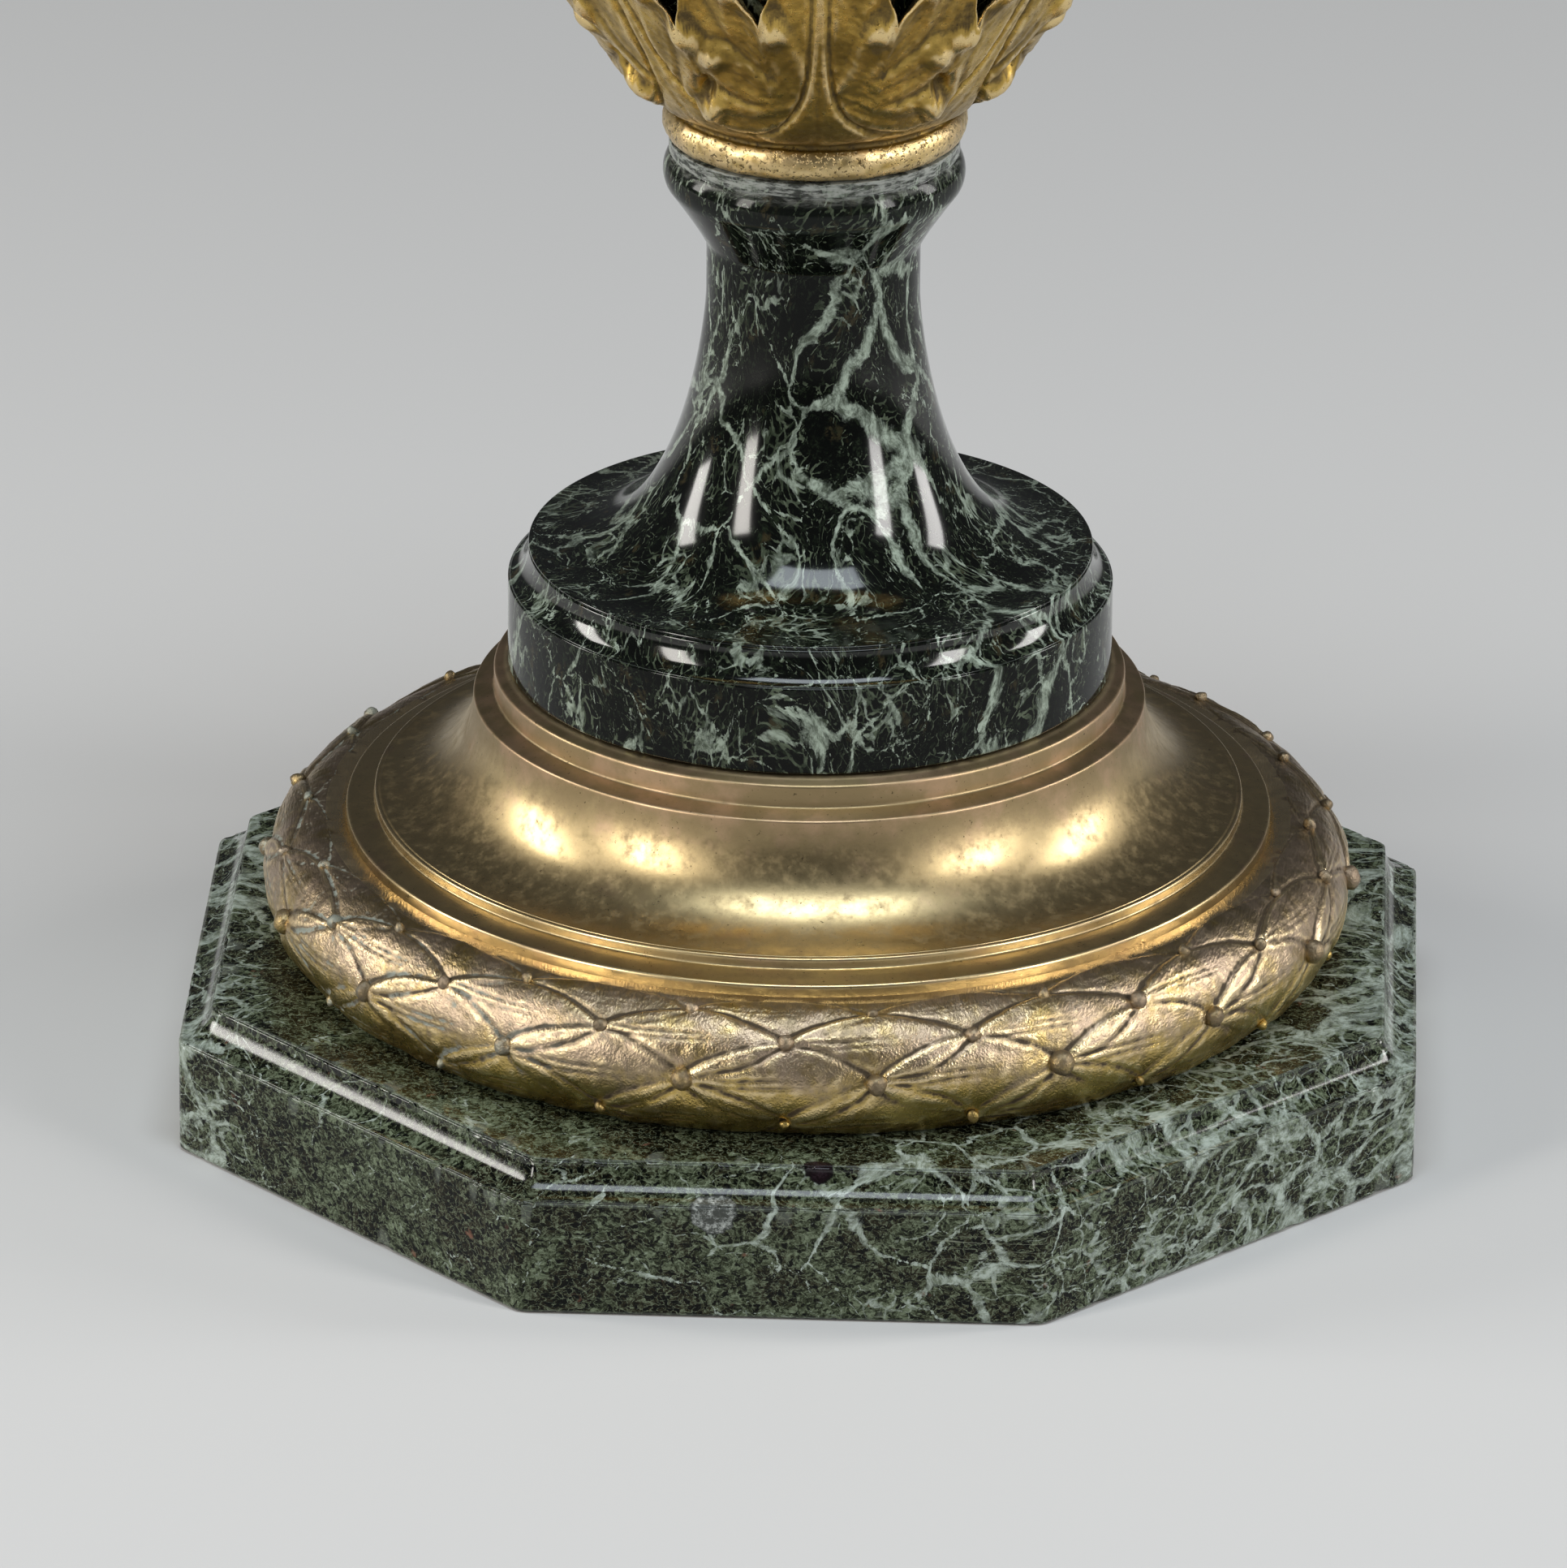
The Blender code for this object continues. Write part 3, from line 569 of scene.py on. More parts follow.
def wreathRelief(around, row):
    # the highest of the two leaves that can cover a point; around counts leaf lengths and row counts rows. A
    # leaf is a sheet with a crown, a tip sunk under the next stalk, a raised lip, a vein and fanned creases
    best, outline = np.zeros_like(around), np.zeros_like(around)
    for offset in (0, 1):
        leafRow = np.floor(row) + offset
        across = row - leafRow
        place = around - wreath["rowShift"] * (np.mod(leafRow, 2) == 0)
        along = 2 * np.mod(place, 1) - 1
        number = np.floor(place) + 37 * leafRow
        upperRows = smoothStep(-leafRow, -2.6, -1.0)
        wobble = 0.05 * np.sin(number * 2.4) + 0.03 * np.sin(along * 5 + number)
        across = across + wobble * (1 - along ** 2)
        width = np.maximum(leafAcross(along, wreath["leafWidth"]), 1e-3)
        share = np.clip(np.abs(across) / width, 0, 1)
        tipLine = np.exp(-((np.abs(across) - width) / 0.075) ** 2) * smoothStep(along, -0.15, 0.25)
        outline = np.maximum(outline, tipLine * upperRows)
        sheet = wreath["thickness"] + wreath["crown"] * np.sqrt(1 - share ** 2) - wreath["tipSink"] * along
        sheet += wreath["lip"] * np.exp(-((share - 0.92) / 0.06) ** 2)
        vein = np.exp(-((np.abs(across - 0.05 * np.sin(number * 5)) - 0.08) / 0.03) ** 2)
        sheet -= wreath["veinDepth"] * vein * smoothStep(-along, -0.55 - 0.25 * np.sin(number), 0.1)
        creases = np.sin(across / (along + 1.25) * 9 + number) ** 2 * smoothStep(-along, -0.1, 0.5)
        sheet -= wreath["creaseDepth"] * creases * (1 - share ** 4)
        sheet = np.where(share < 1, sheet * upperRows * (0.75 + 0.25 * (leafRow < 1)), 0)
        best = np.maximum(best, sheet)
    return (best - wreath["outline"] * outline) * wreath["rise"]


def makeWreath():
    columns = wreath["leaves"] * wreath["leafColumns"]
    degrees = np.arange(columns) * 360 / columns
    row = np.linspace(wreath["lowestRow"], wreath["highestRow"], wreath["rows"])
    pitch = 360 / wreath["leaves"]
    around, rowGrid = np.meshgrid((degrees + 90) / pitch, row)
    section = np.radians(wreathSection(rowGrid))
    angle = np.radians(degrees)
    middle = wreath["seat"] + wreath["lift"]

    def torus(reach):
        radius = wreath["radius"] + reach * np.cos(section)
        return swung(radius, angle, np.maximum(middle + reach * np.sin(section), wreath["seat"] + 0.05))

    relief = eased(wreathRelief(around, rowGrid))
    relief += waveNoise(torus(wreath["section"] + 0 * rowGrid), wreath["casting"])
    wall = turnedGrid(np.array(wreath["innerWall"]), columns)
    grid = np.concatenate([torus(wreath["section"] + relief), wall])
    bronze = bronzeMaterial("wreathBronze", wreath["finish"])
    addGrid("wreath_leaves", grid, (2, 2, 0.11), bronze, "wreath_base", ringClosed=True)

    # berries in the corners between the leaves: one small ball, copied to every node of the lattice. Its
    # points are (cos latitude cos longitude, cos latitude sin longitude, sin latitude)
    angles = np.radians(np.linspace(-72, 72, 7)), np.radians(np.arange(0, 360, 30))
    latitude, longitude = np.meshgrid(*angles, indexing="ij")
    ball = swung(np.cos(latitude), longitude, np.sin(latitude))
    ballFaces = gridFaces(*ball.shape[:2], True, True)
    ball = np.vstack([ball.reshape(-1, 3), (0, 0, -1), (0, 0, 1)])
    rng = np.random.default_rng(8)
    centres, sizes = [], []
    for leafRow, size in wreath["berries"].items():
        shift = wreath["rowShift"] * pitch if leafRow % 2 == 0 else 0.0
        node = np.radians(np.arange(wreath["leaves"]) * pitch - 90 + shift)
        tilt = math.radians(wreathSection(leafRow))
        reach = wreath["section"] + 0.95 - 0.25 * max(leafRow, 0)
        radius = wreath["radius"] + reach * math.cos(tilt)
        centres.append(swung(radius, node, middle + reach * math.sin(tilt)))
        sizes.append(size * rng.uniform(0.85, 1.15, wreath["leaves"]))
    centres, sizes = np.concatenate(centres), np.concatenate(sizes)
    points = (centres[:, None] + ball[None] * sizes[:, None, None]).reshape(-1, 3)
    worn = [waveNoise(points, ((0.12, 1.9, seed),)) for seed in (41, 42, 43)]
    points += np.stack(worn, -1)
    start = (np.arange(len(centres)) * len(ball))[:, None, None]
    faces = [(part[None] + start).reshape(-1, part.shape[1]) for part in ballFaces]
    berries = meshFrom("wreath_berries", points, faces, np.full(len(points), 0.3))
    addPiece(berries, bronze, "wreath_base")


def makeDish():
    foot, under = dish["footRadius"], dish["under"]
    lip = foot + dish["lipWidth"]
    collar = lip + dish["collarWidth"]
    ring = collar + dish["dishWidth"]
    ledge = ring + dish["ledgeWidth"]
    ledgeIn = dish["ledgeLevel"] + dish["ledgeFall"]
    ringLevel = ledgeIn + dish["ringRiser"]
    collarOut = ringLevel + dish["dishRise"]
    collarIn = collarOut + dish["collarFall"]
    lipLevel = collarIn + dish["lipRiser"]
    seat = lipLevel + dish["lipFall"]
    corners = [(50.0, under, 0), (ledge, under + 1, 0), (ledge, dish["ledgeLevel"], 0.5)]
    corners += [(ring, ledgeIn, 0.3), (ring, ringLevel, 0.4)]
    corners += ellipseArc((ring, collarOut), (dish["dishWidth"], dish["dishRise"]), 268, 182, 44)
    corners += [(collar, collarOut, 0.4), (lip, collarIn, 0.4), (lip, lipLevel, 0.45), (foot, seat, 0)]
    corners += [(30.0, seat, 0)]
    grid = turnedGrid(roundedProfile(corners), dish["columns"])
    bronze = bronzeMaterial("dishBronze", dish["finish"])
    addGrid("base_dish", grid, (2, 0, 0.10), bronze, "wreath_base", under, seat)


# Stem: foot, hollow moulding, trumpet, neck, knop and a flat band under the cup

stem = {
    "bottom": 53.8, "footRadius": 36.8, "footFace": 11.0, "coveRise": 4.4, "coveDepth": 2.5,
    "trumpetRise": 32.6, "heightPower": 0.376, "widthPower": 1.374, "neckRadius": 12.9, "neckRise": 6.9,
    "knopProjection": 5.3, "knopSection": 3.6, "knopLift": 8.7, "knopLow": -30.0, "knopHigh": 46.0,
    "underCut": 0.3, "bandInset": 0.7, "bandRise": 1.7, "columns": 288,
    "finish": {
        "shift": (3, 60, 21), "turn": (14, -10, 0), "stretch": (1, 1, 1.7), "roughness": 0.085, "scuff": 0.08,
        # edge and its colour: the share and colour of a painted highlight along the arrises
        "edge": 0.15, "edgeHighlightColour": (0.2, 0.25, 0.22, 1), "bump": 0, "gloss": 0.15,
        "polishedBand": (64.9, 84.0, 0.6, 16.0),
        # filler under the cup: lower and upper height, and colour
        "paleBand": (118.6, 120.6, (0.30, 0.32, 0.30, 1)),
        "stone": {"Stone Size": 8.5, "Vein Share": 0.45, "Web Share": 0.43, "Web Width": 0.17, "Web Rag": 0.6,
                  "Crumb Share": 0.42, "Dark": (0.002, 0.0025, 0.002, 1), "Green": (0.012, 0.018, 0.010, 1),
                  "Web": (0.10, 0.125, 0.085, 1), "Vein": (0.33, 0.395, 0.33, 1),
                  "Rust": (0.03, 0.025, 0.012, 1), "Rust Share": 0.2},
    },
}


def makeStem(marble):
    bottom, foot = stem["bottom"], stem["footRadius"]
    footTop = bottom + stem["footFace"]
    trumpetBottom = footTop + stem["coveRise"]
    waist = foot - stem["coveDepth"]
    neck = stem["neckRadius"]
    # trumpet: a concave Lame curve, radius = neck + width times (1 - share of height to one power) to another
    share = np.linspace(0, 1, 60)[1:] ** 2.2
    width = (1 - share ** stem["heightPower"]) ** stem["widthPower"]
    rise = stem["trumpetRise"]
    trumpet = [(neck + (waist - neck) * w, trumpetBottom + rise * s, 0) for w, s in zip(width, share)]
    knopBottom = trumpetBottom + rise + stem["neckRise"]
    section = stem["knopSection"]
    centre = (neck + stem["knopProjection"] - section, knopBottom + stem["knopLift"])
    knop = ellipseArc(centre, (section, section), stem["knopLow"], stem["knopHigh"], 14)
    under = neck + stem["underCut"]
    slope = [(under + (knop[0][0] - under) * s, knopBottom + (knop[0][1] - knopBottom) * s ** 0.9, 0)
             for s in np.linspace(0, 1, 7)[1:-1]]
    band = neck + stem["knopProjection"] - stem["bandInset"]
    bandBottom = knop[-1][1]
    top = bandBottom + stem["bandRise"]
    corners = [(20.0, bottom, 0), (foot, bottom, 0.25), (foot, footTop, 0.3)]
    corners += ellipseArc((foot, trumpetBottom), (stem["coveDepth"], stem["coveRise"]), 266, 184, 14)
    corners += [(waist, trumpetBottom, 0.25)] + trumpet
    corners += [(neck, knopBottom - 1.2, 0), (neck + 0.1, knopBottom - 0.3, 0)] + slope + knop
    corners += [(band, bandBottom, 0.1), (band, top, 0.15), (8.0, top, 0)]
    grid = turnedGrid(roundedProfile(corners, longest=0.8), stem["columns"])
    addGrid("stem_turned", grid, (2, 0, 0.12), marble, "stem", bottom, top)


# Body of the vessel, whose lower curve the cup's leaves follow too

body = {
    "bottom": 128.39, "bellyRise": 69.0, "sink": 5.0, "heightPower": 1.2, "widthPower": 0.44,
    "mouth": 28.0, "wall": 7.0, "floor": 19.0, "shoulderWidth": 15.0, "shoulderRise": 21.0,
    "collarRise": 5.0, "columns": 256, "shift": (70, 20, 40), "gloss": 0.26,
}


def bodyRadius(height):
    # belly radius times (1 - share of the way down to one power) to another: it swells from the cup
    belly = body["mouth"] + body["wall"] + body["shoulderWidth"]
    share = (body["bottom"] + body["bellyRise"] - height) / (body["bellyRise"] + body["sink"])
    return belly * (1 - np.clip(share, 0, 1) ** body["heightPower"]) ** body["widthPower"]


def makeBody(marble):
    bottom, wall, mouth = body["bottom"], body["wall"], body["mouth"]
    width, rise = body["shoulderWidth"], body["shoulderRise"]
    belly = bottom + body["bellyRise"]
    top = belly + rise + body["collarRise"]
    collar = mouth + wall
    floorLevel = bottom + body["floor"]
    heights = bottom + body["bellyRise"] * np.linspace(0, 1, 40)[:-1] ** 1.5
    corners = [(6.0, bottom, 0)] + [(r, h, 0) for r, h in zip(bodyRadius(heights), heights)]
    corners += ellipseArc((collar, belly), (width, rise), 0, 88, 26)
    corners += [(collar, belly + rise, 0.3), (collar, top, 0.3), (mouth, top, 0.3)]
    corners += ellipseArc((mouth, belly), (width, rise - wall), 88, 0, 20)
    heights = np.linspace(belly, floorLevel, 14)[1:]
    corners += [(r, h, 0) for r, h in zip(bodyRadius(heights) - wall, heights)]
    corners += [(8.0, floorLevel, 0)]
    grid = turnedGrid(roundedProfile(corners, longest=3.0), body["columns"])
    addGrid("body_vessel", grid, (2, 0, 0.2), marble, "body", bottom, floorLevel)


# Acanthus cup: a pitted bead, then four leaves in front and four between them

cup = {
    "bottom": 121.99, "beadRadius": 18.3, "beadRise": 4.0, "beadInset": 1.3, "turn": 4.6, "clearance": 0.5,
    "thickness": 1.2, "rootThickening": 3.4, "rootReach": 18.0, "tipCurl": 1.1, "floorRise": 2.1,
    "columns": 720, "rows": 108, "sheetDrop": 0.55, "deepest": 0.4,
    "frontEdge": ((0.0, 34.0, 8.5), (22.0, 29.5, 6.5)), "backEdge": ((0.0, 32.0, 8.6),),
    "edgeDrop": 5.0, "scallop": 0.9,
    "ribLean": 1.6, "ribWidth": 0.95, "ribFlare": 9.7, "ribFall": 4.3, "sway": 0.25,
    # each lobe: stalk, bend and tip as (across, up) from the leaf's axis, half width, lift and curl
    "frontLobes": (
        ((3.2, 8.2), (8.0, 4.0), (13.2, 6.9), 3.2, 1.0, 0.9),
        ((2.8, 8.6), (8.5, 10.5), (14.0, 15.4), 3.0, 0.85, 1.0),
        ((1.6, 9.0), (4.4, 13.0), (6.4, 20.5), 2.5, 0.7, 1.1),
        ((3.0, 13.0), (8.5, 16.5), (12.6, 26.8), 3.2, 0.5, 0.9),
        ((0.8, 15.0), (2.4, 22.0), (4.6, 29.5), 2.6, 0.45, 0.8),
        ((0.0, 20.0), (0.0, 26.0), (0.0, 32.5), 2.4, 0.5, 0.9),
    ),
    "backLobes": (
        ((2.6, 5.0), (6.6, 9.0), (8.4, 18.2), 2.6, 0.75, 1.0),
        ((0.8, 10.0), (3.6, 14.0), (5.2, 24.0), 2.4, 0.55, 0.9),
        ((0.0, 16.0), (0.0, 24.0), (0.0, 30.5), 2.6, 0.45, 0.8),
    ),
    # dark eyes between the lobes: across, up, size and depth
    "eyes": ((14.6, 10.2, 1.1, 1.3), (8.2, 24.4, 0.9, 0.8)),
    # unevenness of the leaves, then of the bead: height, wavelength and seed
    "casting": ((0.03, 1.3, 31), (0.05, 7.0, 32)), "dents": ((0.03, 1.8, 33),), "swell": ((0.05, 6.0, 34),),
    "finish": {
        "shift": (15, 70, 5), "bump": 0.42,
        # browner and more pitted on the bead: two heights, then the shares of tarnish, copper and pits
        "shares": (125.5, 132.0, (0.60, 0.40, 0.68), (0.52, 0.24, 0.44)),
        "metal": {"Gold": (0.62, 0.42, 0.11, 1), "Tarnish": (0.25, 0.165, 0.04, 1),
                  "Copper": (0.46, 0.28, 0.12, 1), "Smoothness": 0.03},
    },
}


def leafEdge(front, back):
    # height of the leaves' edge above the bead: the highest of the lobes' rounded tops
    tops = []
    for offset, lobes in ((np.abs(front), cup["frontEdge"]), (np.abs(back), cup["backEdge"])):
        for angle, height, width in lobes:
            tops.append(height - cup["edgeDrop"] * ((offset - angle) / width) ** 2)
    return np.max(tops, axis=0) - cup["scallop"] * (1 - np.abs(np.cos(np.radians(front) * 40))) ** 1.5


def lobeRelief(across, up, lobes):
    # each lobe is a fleshy petal along a bent line: steep sides, a sunk middle, fine flutes and a tip that
    # curls out. The line is a parabola drawn by three points, and distance is taken to its nearest chord
    best = np.zeros_like(across)
    share = np.linspace(0, 1, 13)
    weights = (1 - share) ** 2, 2 * share * (1 - share), share ** 2
    for stalk, bend, tip, halfWidth, lift, curl in lobes:
        curve = [weights[0] * a + weights[1] * b + weights[2] * c for a, b, c in zip(stalk, bend, tip)]
        (startX, startY), (stepX, stepY) = [line[:-1] for line in curve], [np.diff(line) for line in curve]
        reachX, reachY = across[..., None] - startX, up[..., None] - startY
        chord = np.clip((reachX * stepX + reachY * stepY) / (stepX ** 2 + stepY ** 2), 0, 1)
        distance = np.hypot(reachX - chord * stepX, reachY - chord * stepY)
        nearest = distance.argmin(-1)[..., None]
        distance = np.take_along_axis(distance, nearest, -1)[..., 0]
        along = (nearest + np.take_along_axis(chord, nearest, -1))[..., 0] / len(stepX)
        inside = distance / (halfWidth * (0.45 + 0.55 * np.sin(math.pi * (0.08 + 0.5 * along))))
        petal = np.sqrt(np.clip(1 - inside ** 3, 0, 1)) * (0.45 + 0.55 * smoothStep(along, 0.0, 0.5))
        channel = 0.3 * np.exp(-(inside / 0.42) ** 2) * (1 - smoothStep(along, 0.75, 1.0))
        flute = 0.035 * np.cos(distance * 7.0) * (1 - smoothStep(inside, 0.6, 0.9)) * (1 - along ** 2)
        hood = curl * smoothStep(along, 0.80, 1.0) ** 1.5 * np.clip(1 - (inside / 0.62) ** 2, 0, 1)
        best = np.maximum(best, (lift * (petal - channel) + flute) * (inside < 1) + hood)
    return best


def cupRelief(front, back, up):
    # relief over the bowl: bell-shaped midribs, front lobes over back lobes, and eyes between the lobes
    radius = bodyRadius(cup["bottom"] + cup["beadRise"] + up) + 2.5
    sway = waveNoise(np.stack([front * 0.55, up, 0 * up + 7], -1), ((cup["sway"], 14.0, 35),))
    acrossFront = np.abs(np.radians(front)) * radius + sway
    acrossBack = np.abs(np.radians(back)) * radius + sway
    relief = np.maximum(lobeRelief(acrossFront, up + sway, cup["frontLobes"]),
                        lobeRelief(acrossBack, up - sway, cup["backLobes"]))
    half = cup["ribWidth"] + cup["ribFlare"] * np.exp(-up / cup["ribFall"])
    for offset, lean, rise in ((front, cup["ribLean"], 0.55), (back, 0.0, 0.3)):
        across = np.abs(np.radians(offset + lean)) * radius
        rib = rise * np.sqrt(np.clip(1 - (across / half) ** 4, 0, 1))
        rib = rib * (1 - 0.35 * np.exp(-(across / 0.45) ** 2))
        groove = 0.6 * np.exp(-((across - half) / 0.22) ** 2) * smoothStep(up, 1.2, 4.0)
        relief = np.where(across < half, rib, relief) - groove
    for across, height, size, depth in cup["eyes"]:
        pit = np.exp(-(((acrossFront - across) / size) ** 2 + ((up - height) / (size * 1.5)) ** 2) ** 1.5)
        relief = relief * (1 - pit) - depth * pit
    return relief


def makeCup():
    columns, bottom = cup["columns"], cup["bottom"]
    degrees = cup["turn"] - 90 + np.arange(columns) * 360 / columns
    front = np.mod(degrees - cup["turn"] + 135, 90) - 45
    back = np.mod(front + 90, 90) - 45
    edge = leafEdge(front, back)
    beadTop = bottom + cup["beadRise"]
    up = np.linspace(0, 1, cup["rows"])[:, None] * edge
    height = beadTop + up
    root = np.maximum(0, 1 - up / cup["rootReach"]) ** 2
    curl = cup["tipCurl"] * (up / edge) ** 4
    radius = bodyRadius(height) + cup["clearance"] + cup["thickness"] + cup["rootThickening"] * root + curl
    relief = eased(cupRelief(front + 0 * up, back + 0 * up, up) * smoothStep(up, 0.3, 2.0))
    angle = np.radians(degrees)
    outer = swung(radius, angle, height)
    # the relief stands square to the bowl
    lift = relief - cup["sheetDrop"] + waveNoise(outer, cup["casting"])
    outer = outer + gridNormals(outer) * lift[..., None]
    inset, half = cup["beadInset"], cup["beadRise"] / 2
    bead = ellipseArc((cup["beadRadius"] - inset, bottom + half), (inset, half), -90, 86, 14)
    bead = np.stack([swung(radius, angle, height) for radius, height, _ in [(6.0, bottom, 0)] + bead])
    dents = waveNoise(bead * (1, 1, 2.5), cup["dents"]) + waveNoise(bead, cup["swell"])
    bead[2:] += gridNormals(bead)[2:] * dents[2:, :, None]
    # down the inside, a hair clear of the body
    inside = []
    floorLevel = beadTop + cup["floorRise"]
    lowest = floorLevel + 0.3
    for share in np.linspace(1, 0, 9):
        level = lowest + (beadTop + edge - lowest) * share
        innerCurl = cup["tipCurl"] * np.clip((level - beadTop) / edge, 0, 1) ** 4
        inside.append(swung(bodyRadius(level) + 0.4 + innerCurl * 0.8, angle, level))
    inside.append(swung(6.0, angle, floorLevel))
    grid = np.concatenate([bead, outer, np.array(inside)])
    hollow = np.minimum(eased(hollowMask(grid, 2, 2, 0.15)), cup["deepest"])
    mesh = gridMesh("cup_leaves", grid, hollow, bottom, floorLevel)
    addPiece(mesh, bronzeMaterial("cupBronze", cup["finish"]), "acanthus_cup")


# Rim, lid and finial, which the photograph leaves out: plain, in keeping with the rest

upper = {
    "rimBottom": 223.69, "rimRise": 6.0, "overhang": 2.6, "edgeRadius": 1.8, "coveFoot": 1.8, "gap": 0.3,
    "lidInset": 1.6, "lidEdge": 2.4, "lidStep": 1.6, "lidRise": 17.0, "spigotClearance": 0.6,
    "spigotDrop": 9.0, "topMargin": 0.8, "waistRadius": 3.2, "footOverhang": 4.0, "footRise": 2.8,
    "waistRise": 4.2, "budRadius": 7.6, "budRise": 18.0, "budSwell": 0.75, "sepals": 8, "sepalRise": 0.35,
    "columns": 256,
    "finish": {
        "shift": (33, 7, 60), "bump": 0.2,
        "metal": {"Gold": (0.62, 0.44, 0.18, 1), "Tarnish": (0.36, 0.27, 0.12, 1),
                  "Copper": (0.64, 0.43, 0.28, 1), "Tarnish Share": 0.45, "Copper Share": 0.25,
                  "Pit Share": 0.3, "Smoothness": 0.02},
    },
}


def makeUpper(marble):
    mouth = body["mouth"]
    collar = mouth + body["wall"]
    bottom, edge = upper["rimBottom"], upper["edgeRadius"]
    top = bottom + upper["rimRise"]
    outer = collar + upper["overhang"]
    bronze = bronzeMaterial("rimBronze", upper["finish"])
    corners = [(mouth + 2, bottom, 0), (collar, bottom, 0.15), (collar, bottom + upper["coveFoot"], 0)]
    corners += ellipseArc((outer - edge, top - edge), (edge, edge), -50, 90, 14)
    corners += [(mouth, top, 0.2), (mouth, bottom, 0.2)]
    grid = turnedGrid(roundedProfile(corners, longest=0.7), upper["columns"])
    addGrid("rim_ring", grid, (2, 0, 0.12), bronze, "rim", ringClosed=True)

    lidBottom = top + upper["gap"]
    dome = lidBottom + upper["lidEdge"]
    seat = dome + upper["lidRise"]
    spigot = mouth - upper["spigotClearance"]
    lidOuter = outer - upper["lidInset"]
    footRadius = upper["waistRadius"] + upper["footOverhang"]
    lidTop = footRadius + upper["topMargin"]
    low = lidBottom - upper["spigotDrop"]
    # ogee dome: half a cosine wave from the lid's edge in to the finial's seat
    share = np.linspace(0, 1, 40)
    swell = (lidOuter - upper["lidStep"] - lidTop) * (1 + np.cos(math.pi * share)) / 2
    curve = [(lidTop + w, dome + upper["lidRise"] * s, 0) for w, s in zip(swell, share)]
    corners = [(5.0, low, 0), (spigot, low, 0.5), (spigot, lidBottom, 0), (lidOuter, lidBottom, 0.4)]
    corners += [(lidOuter, dome, 0.4)] + curve + [(3.0, seat, 0)]
    grid = turnedGrid(roundedProfile(corners, longest=1.0), upper["columns"])
    addGrid("lid_dome", grid, (2, 0, 0.15), marble, "lid", low, seat)

    start = seat + upper["gap"]
    half = upper["footRise"] / 2
    budBottom, budRise = start + upper["footRise"] + upper["waistRise"], upper["budRise"]
    share = np.linspace(0, 0.995, 60)
    width = np.sin(math.pi * share ** upper["budSwell"])
    waist = upper["waistRadius"] * (1 - share)
    swell = waist + (upper["budRadius"] - waist) * width
    corners = [(2.0, start, 0)] + ellipseArc((footRadius - half, start + half), (half, half), -90, 90, 10)
    corners += [(w, budBottom + budRise * s, 0) for w, s in zip(swell, share)]
    profile = roundedProfile(corners)
    grid = turnedGrid(profile, upper["columns"])
    # sepals: a ridge under each, sunk between, which fades towards the tip and the foot
    climb = np.clip((profile[:, 1:] - budBottom) / budRise, 0, 1)
    angle = np.arange(upper["columns"]) * 2 * math.pi / upper["columns"]
    wave = 1 - np.abs(np.cos(angle * upper["sepals"] / 2)) ** 0.6
    sink = upper["sepalRise"] * wave * smoothStep(climb, 0.04, 0.2) * (1 - smoothStep(climb, 0.75, 1.0))
    grid = grid - gridNormals(grid) * sink[..., None]
    tip = budBottom + budRise
    addGrid("finial_bud", grid, (2, 3, 0.12), bronze, "finial", start, tip)


# Stage, light and camera

studio = {
    "focusHeight": 85.0, "distance": 1200.0, "turn": 2.273, "viewTransform": "Standard",
    "floorSize": 6.0, "floorDrop": 0.0002, "floorColour": (0.60, 0.595, 0.59, 1), "floorRoughness": 0.85,
    "world": (0.55, 0.57, 0.6, 1), "worldStrength": 0.10,
    # name, azimuth and elevation from the camera, width, height in metres, power in watts, colour
    "lights": (
        ("leftFar", -97, 19, 0.22, 0.62, 6.0, (1.0, 0.97, 0.92)),
        ("leftNear", -54, 19, 0.22, 0.62, 7.0, (1.0, 0.96, 0.90)),
        ("rightNear", 57, 19, 0.22, 0.62, 6.5, (1.0, 0.98, 0.96)),
        ("rightFar", 98, 19, 0.22, 0.62, 5.5, (1.0, 0.98, 0.96)),
        ("overhead", 6, 70, 0.75, 0.45, 8, (0.84, 0.93, 1.0)),
    ),
}

camera = {
    "focalPixels": 16578.0, "imageSide": 1932, "sensor": 36.0, "distance": 1647.33, "elevation": 23.082,
    "turn": 2.273, "roll": 0.5, "across": -3.05, "aimHeight": 36.862, "clip": (0.05, 20),
}


def turnedPlace(across, away, height, degrees):
    # a place given in the camera's own frame, turned about the upright axis into the object's, in metres
    turn = math.radians(degrees)
    x = across * math.cos(turn) - away * math.sin(turn)
    y = across * math.sin(turn) + away * math.cos(turn)
    return (x * metresPerUnit, y * metresPerUnit, height * metresPerUnit)


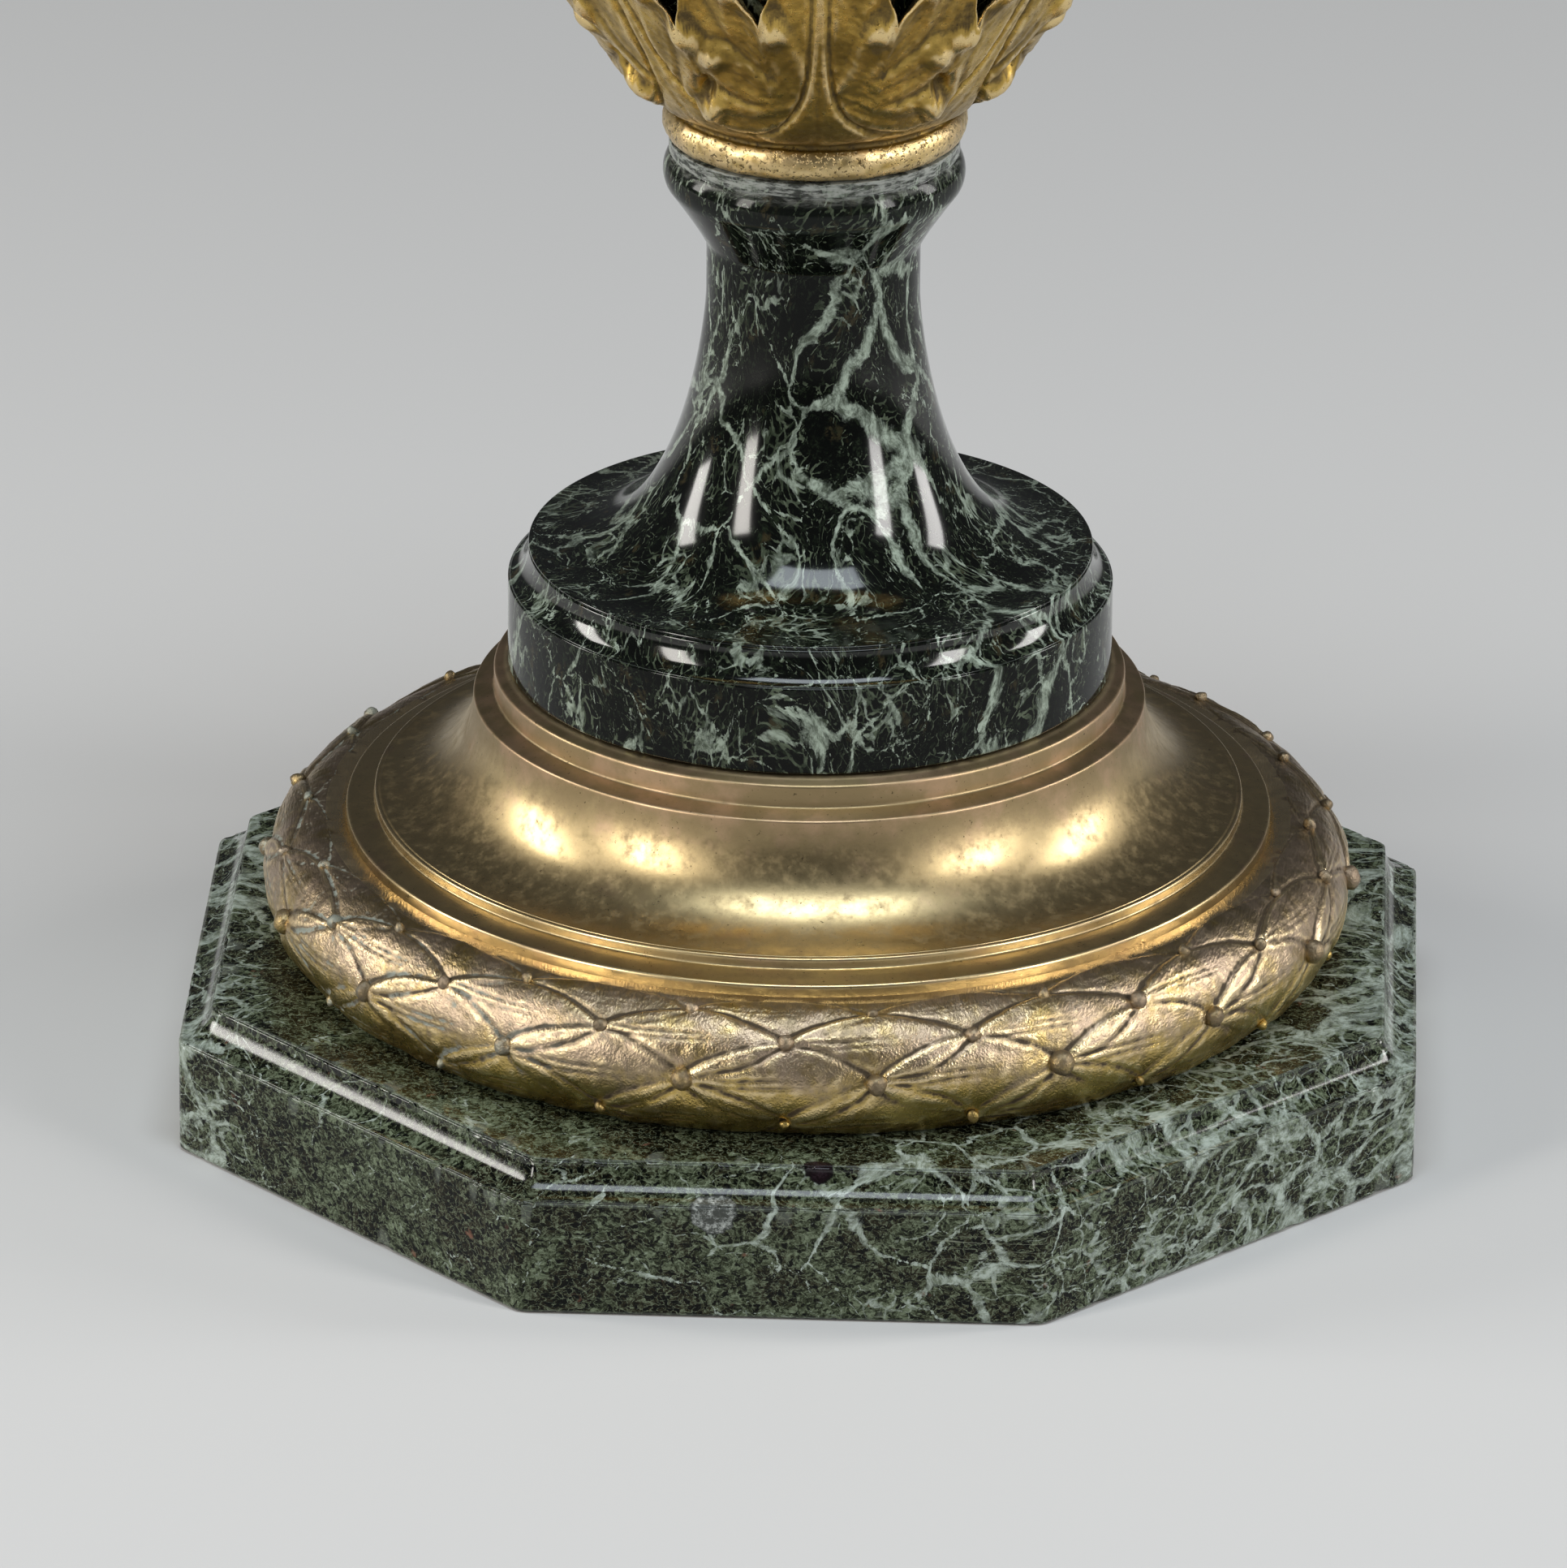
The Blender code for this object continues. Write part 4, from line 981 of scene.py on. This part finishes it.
def makeStudio():
    side, drop = studio["floorSize"] / 2, -studio["floorDrop"]
    mesh = bpy.data.meshes.new("floor")
    corners = [(-side, -side, drop), (side, -side, drop), (side, side, drop), (-side, side, drop)]
    mesh.from_pydata(corners, [], [(0, 1, 2, 3)])
    floor = placed("floor", mesh)
    paper = bpy.data.materials.new("floorPaper")
    paper.use_nodes = True
    setInputs(paper.node_tree.nodes["Principled BSDF"],
              {"Base Color": studio["floorColour"], "Roughness": studio["floorRoughness"]})
    mesh.materials.append(paper)
    world = bpy.data.worlds.new("studio")
    world.use_nodes = True
    setInputs(world.node_tree.nodes["Background"], {0: studio["world"], 1: studio["worldStrength"]})
    bpy.context.scene.world = world
    bpy.context.scene.view_settings.view_transform = studio["viewTransform"]
    for name, azimuth, elevation, width, height, power, colour in studio["lights"]:
        lamp = bpy.data.lights.new(name, "AREA")
        lamp.shape, lamp.size, lamp.size_y = "RECTANGLE", width, height
        lamp.energy, lamp.color = power, colour
        thing = placed(name, lamp)
        side, rise = math.radians(azimuth), math.radians(elevation)
        out = studio["distance"] * math.cos(rise)
        up = studio["focusHeight"] + studio["distance"] * math.sin(rise)
        thing.location = turnedPlace(out * math.sin(side), -out * math.cos(side), up, studio["turn"])
        # the lamp's own -Z points at the urn
        thing.rotation_euler = (math.radians(90) - rise, 0, math.radians(studio["turn"]) + side)


def makeCamera():
    data = bpy.data.cameras.new("photoView")
    data.sensor_width = camera["sensor"]
    data.lens = camera["sensor"] * camera["focalPixels"] / camera["imageSide"]
    data.clip_start, data.clip_end = camera["clip"]
    thing = placed("photoView", data)
    tilt = math.radians(camera["elevation"])
    away, up = -camera["distance"] * math.cos(tilt), camera["aimHeight"] + camera["distance"] * math.sin(tilt)
    place = turnedPlace(camera["across"], away, up, camera["turn"])
    roll = Matrix.Rotation(math.radians(camera["roll"]), 4, "Z")
    pitch = Matrix.Rotation(math.radians(90) - tilt, 4, "X")
    yaw = Matrix.Rotation(math.radians(camera["turn"]), 4, "Z")
    thing.matrix_world = Matrix.Translation(place) @ yaw @ pitch @ roll
    bpy.context.scene.camera = thing


makeCamera()
makeStudio()
# the body and lid share the stem's stone, cut elsewhere, with an even polish and no filler
bodyFinish = {**stem["finish"], "shift": body["shift"], "gloss": body["gloss"]}
del bodyFinish["paleBand"], bodyFinish["polishedBand"]
bodyMarble = marbleMaterial("bodyMarble", bodyFinish)
makePlinth()
makeWreath()
makeDish()
makeStem(marbleMaterial("stemMarble", stem["finish"]))
makeCup()
makeBody(bodyMarble)
makeUpper(bodyMarble)
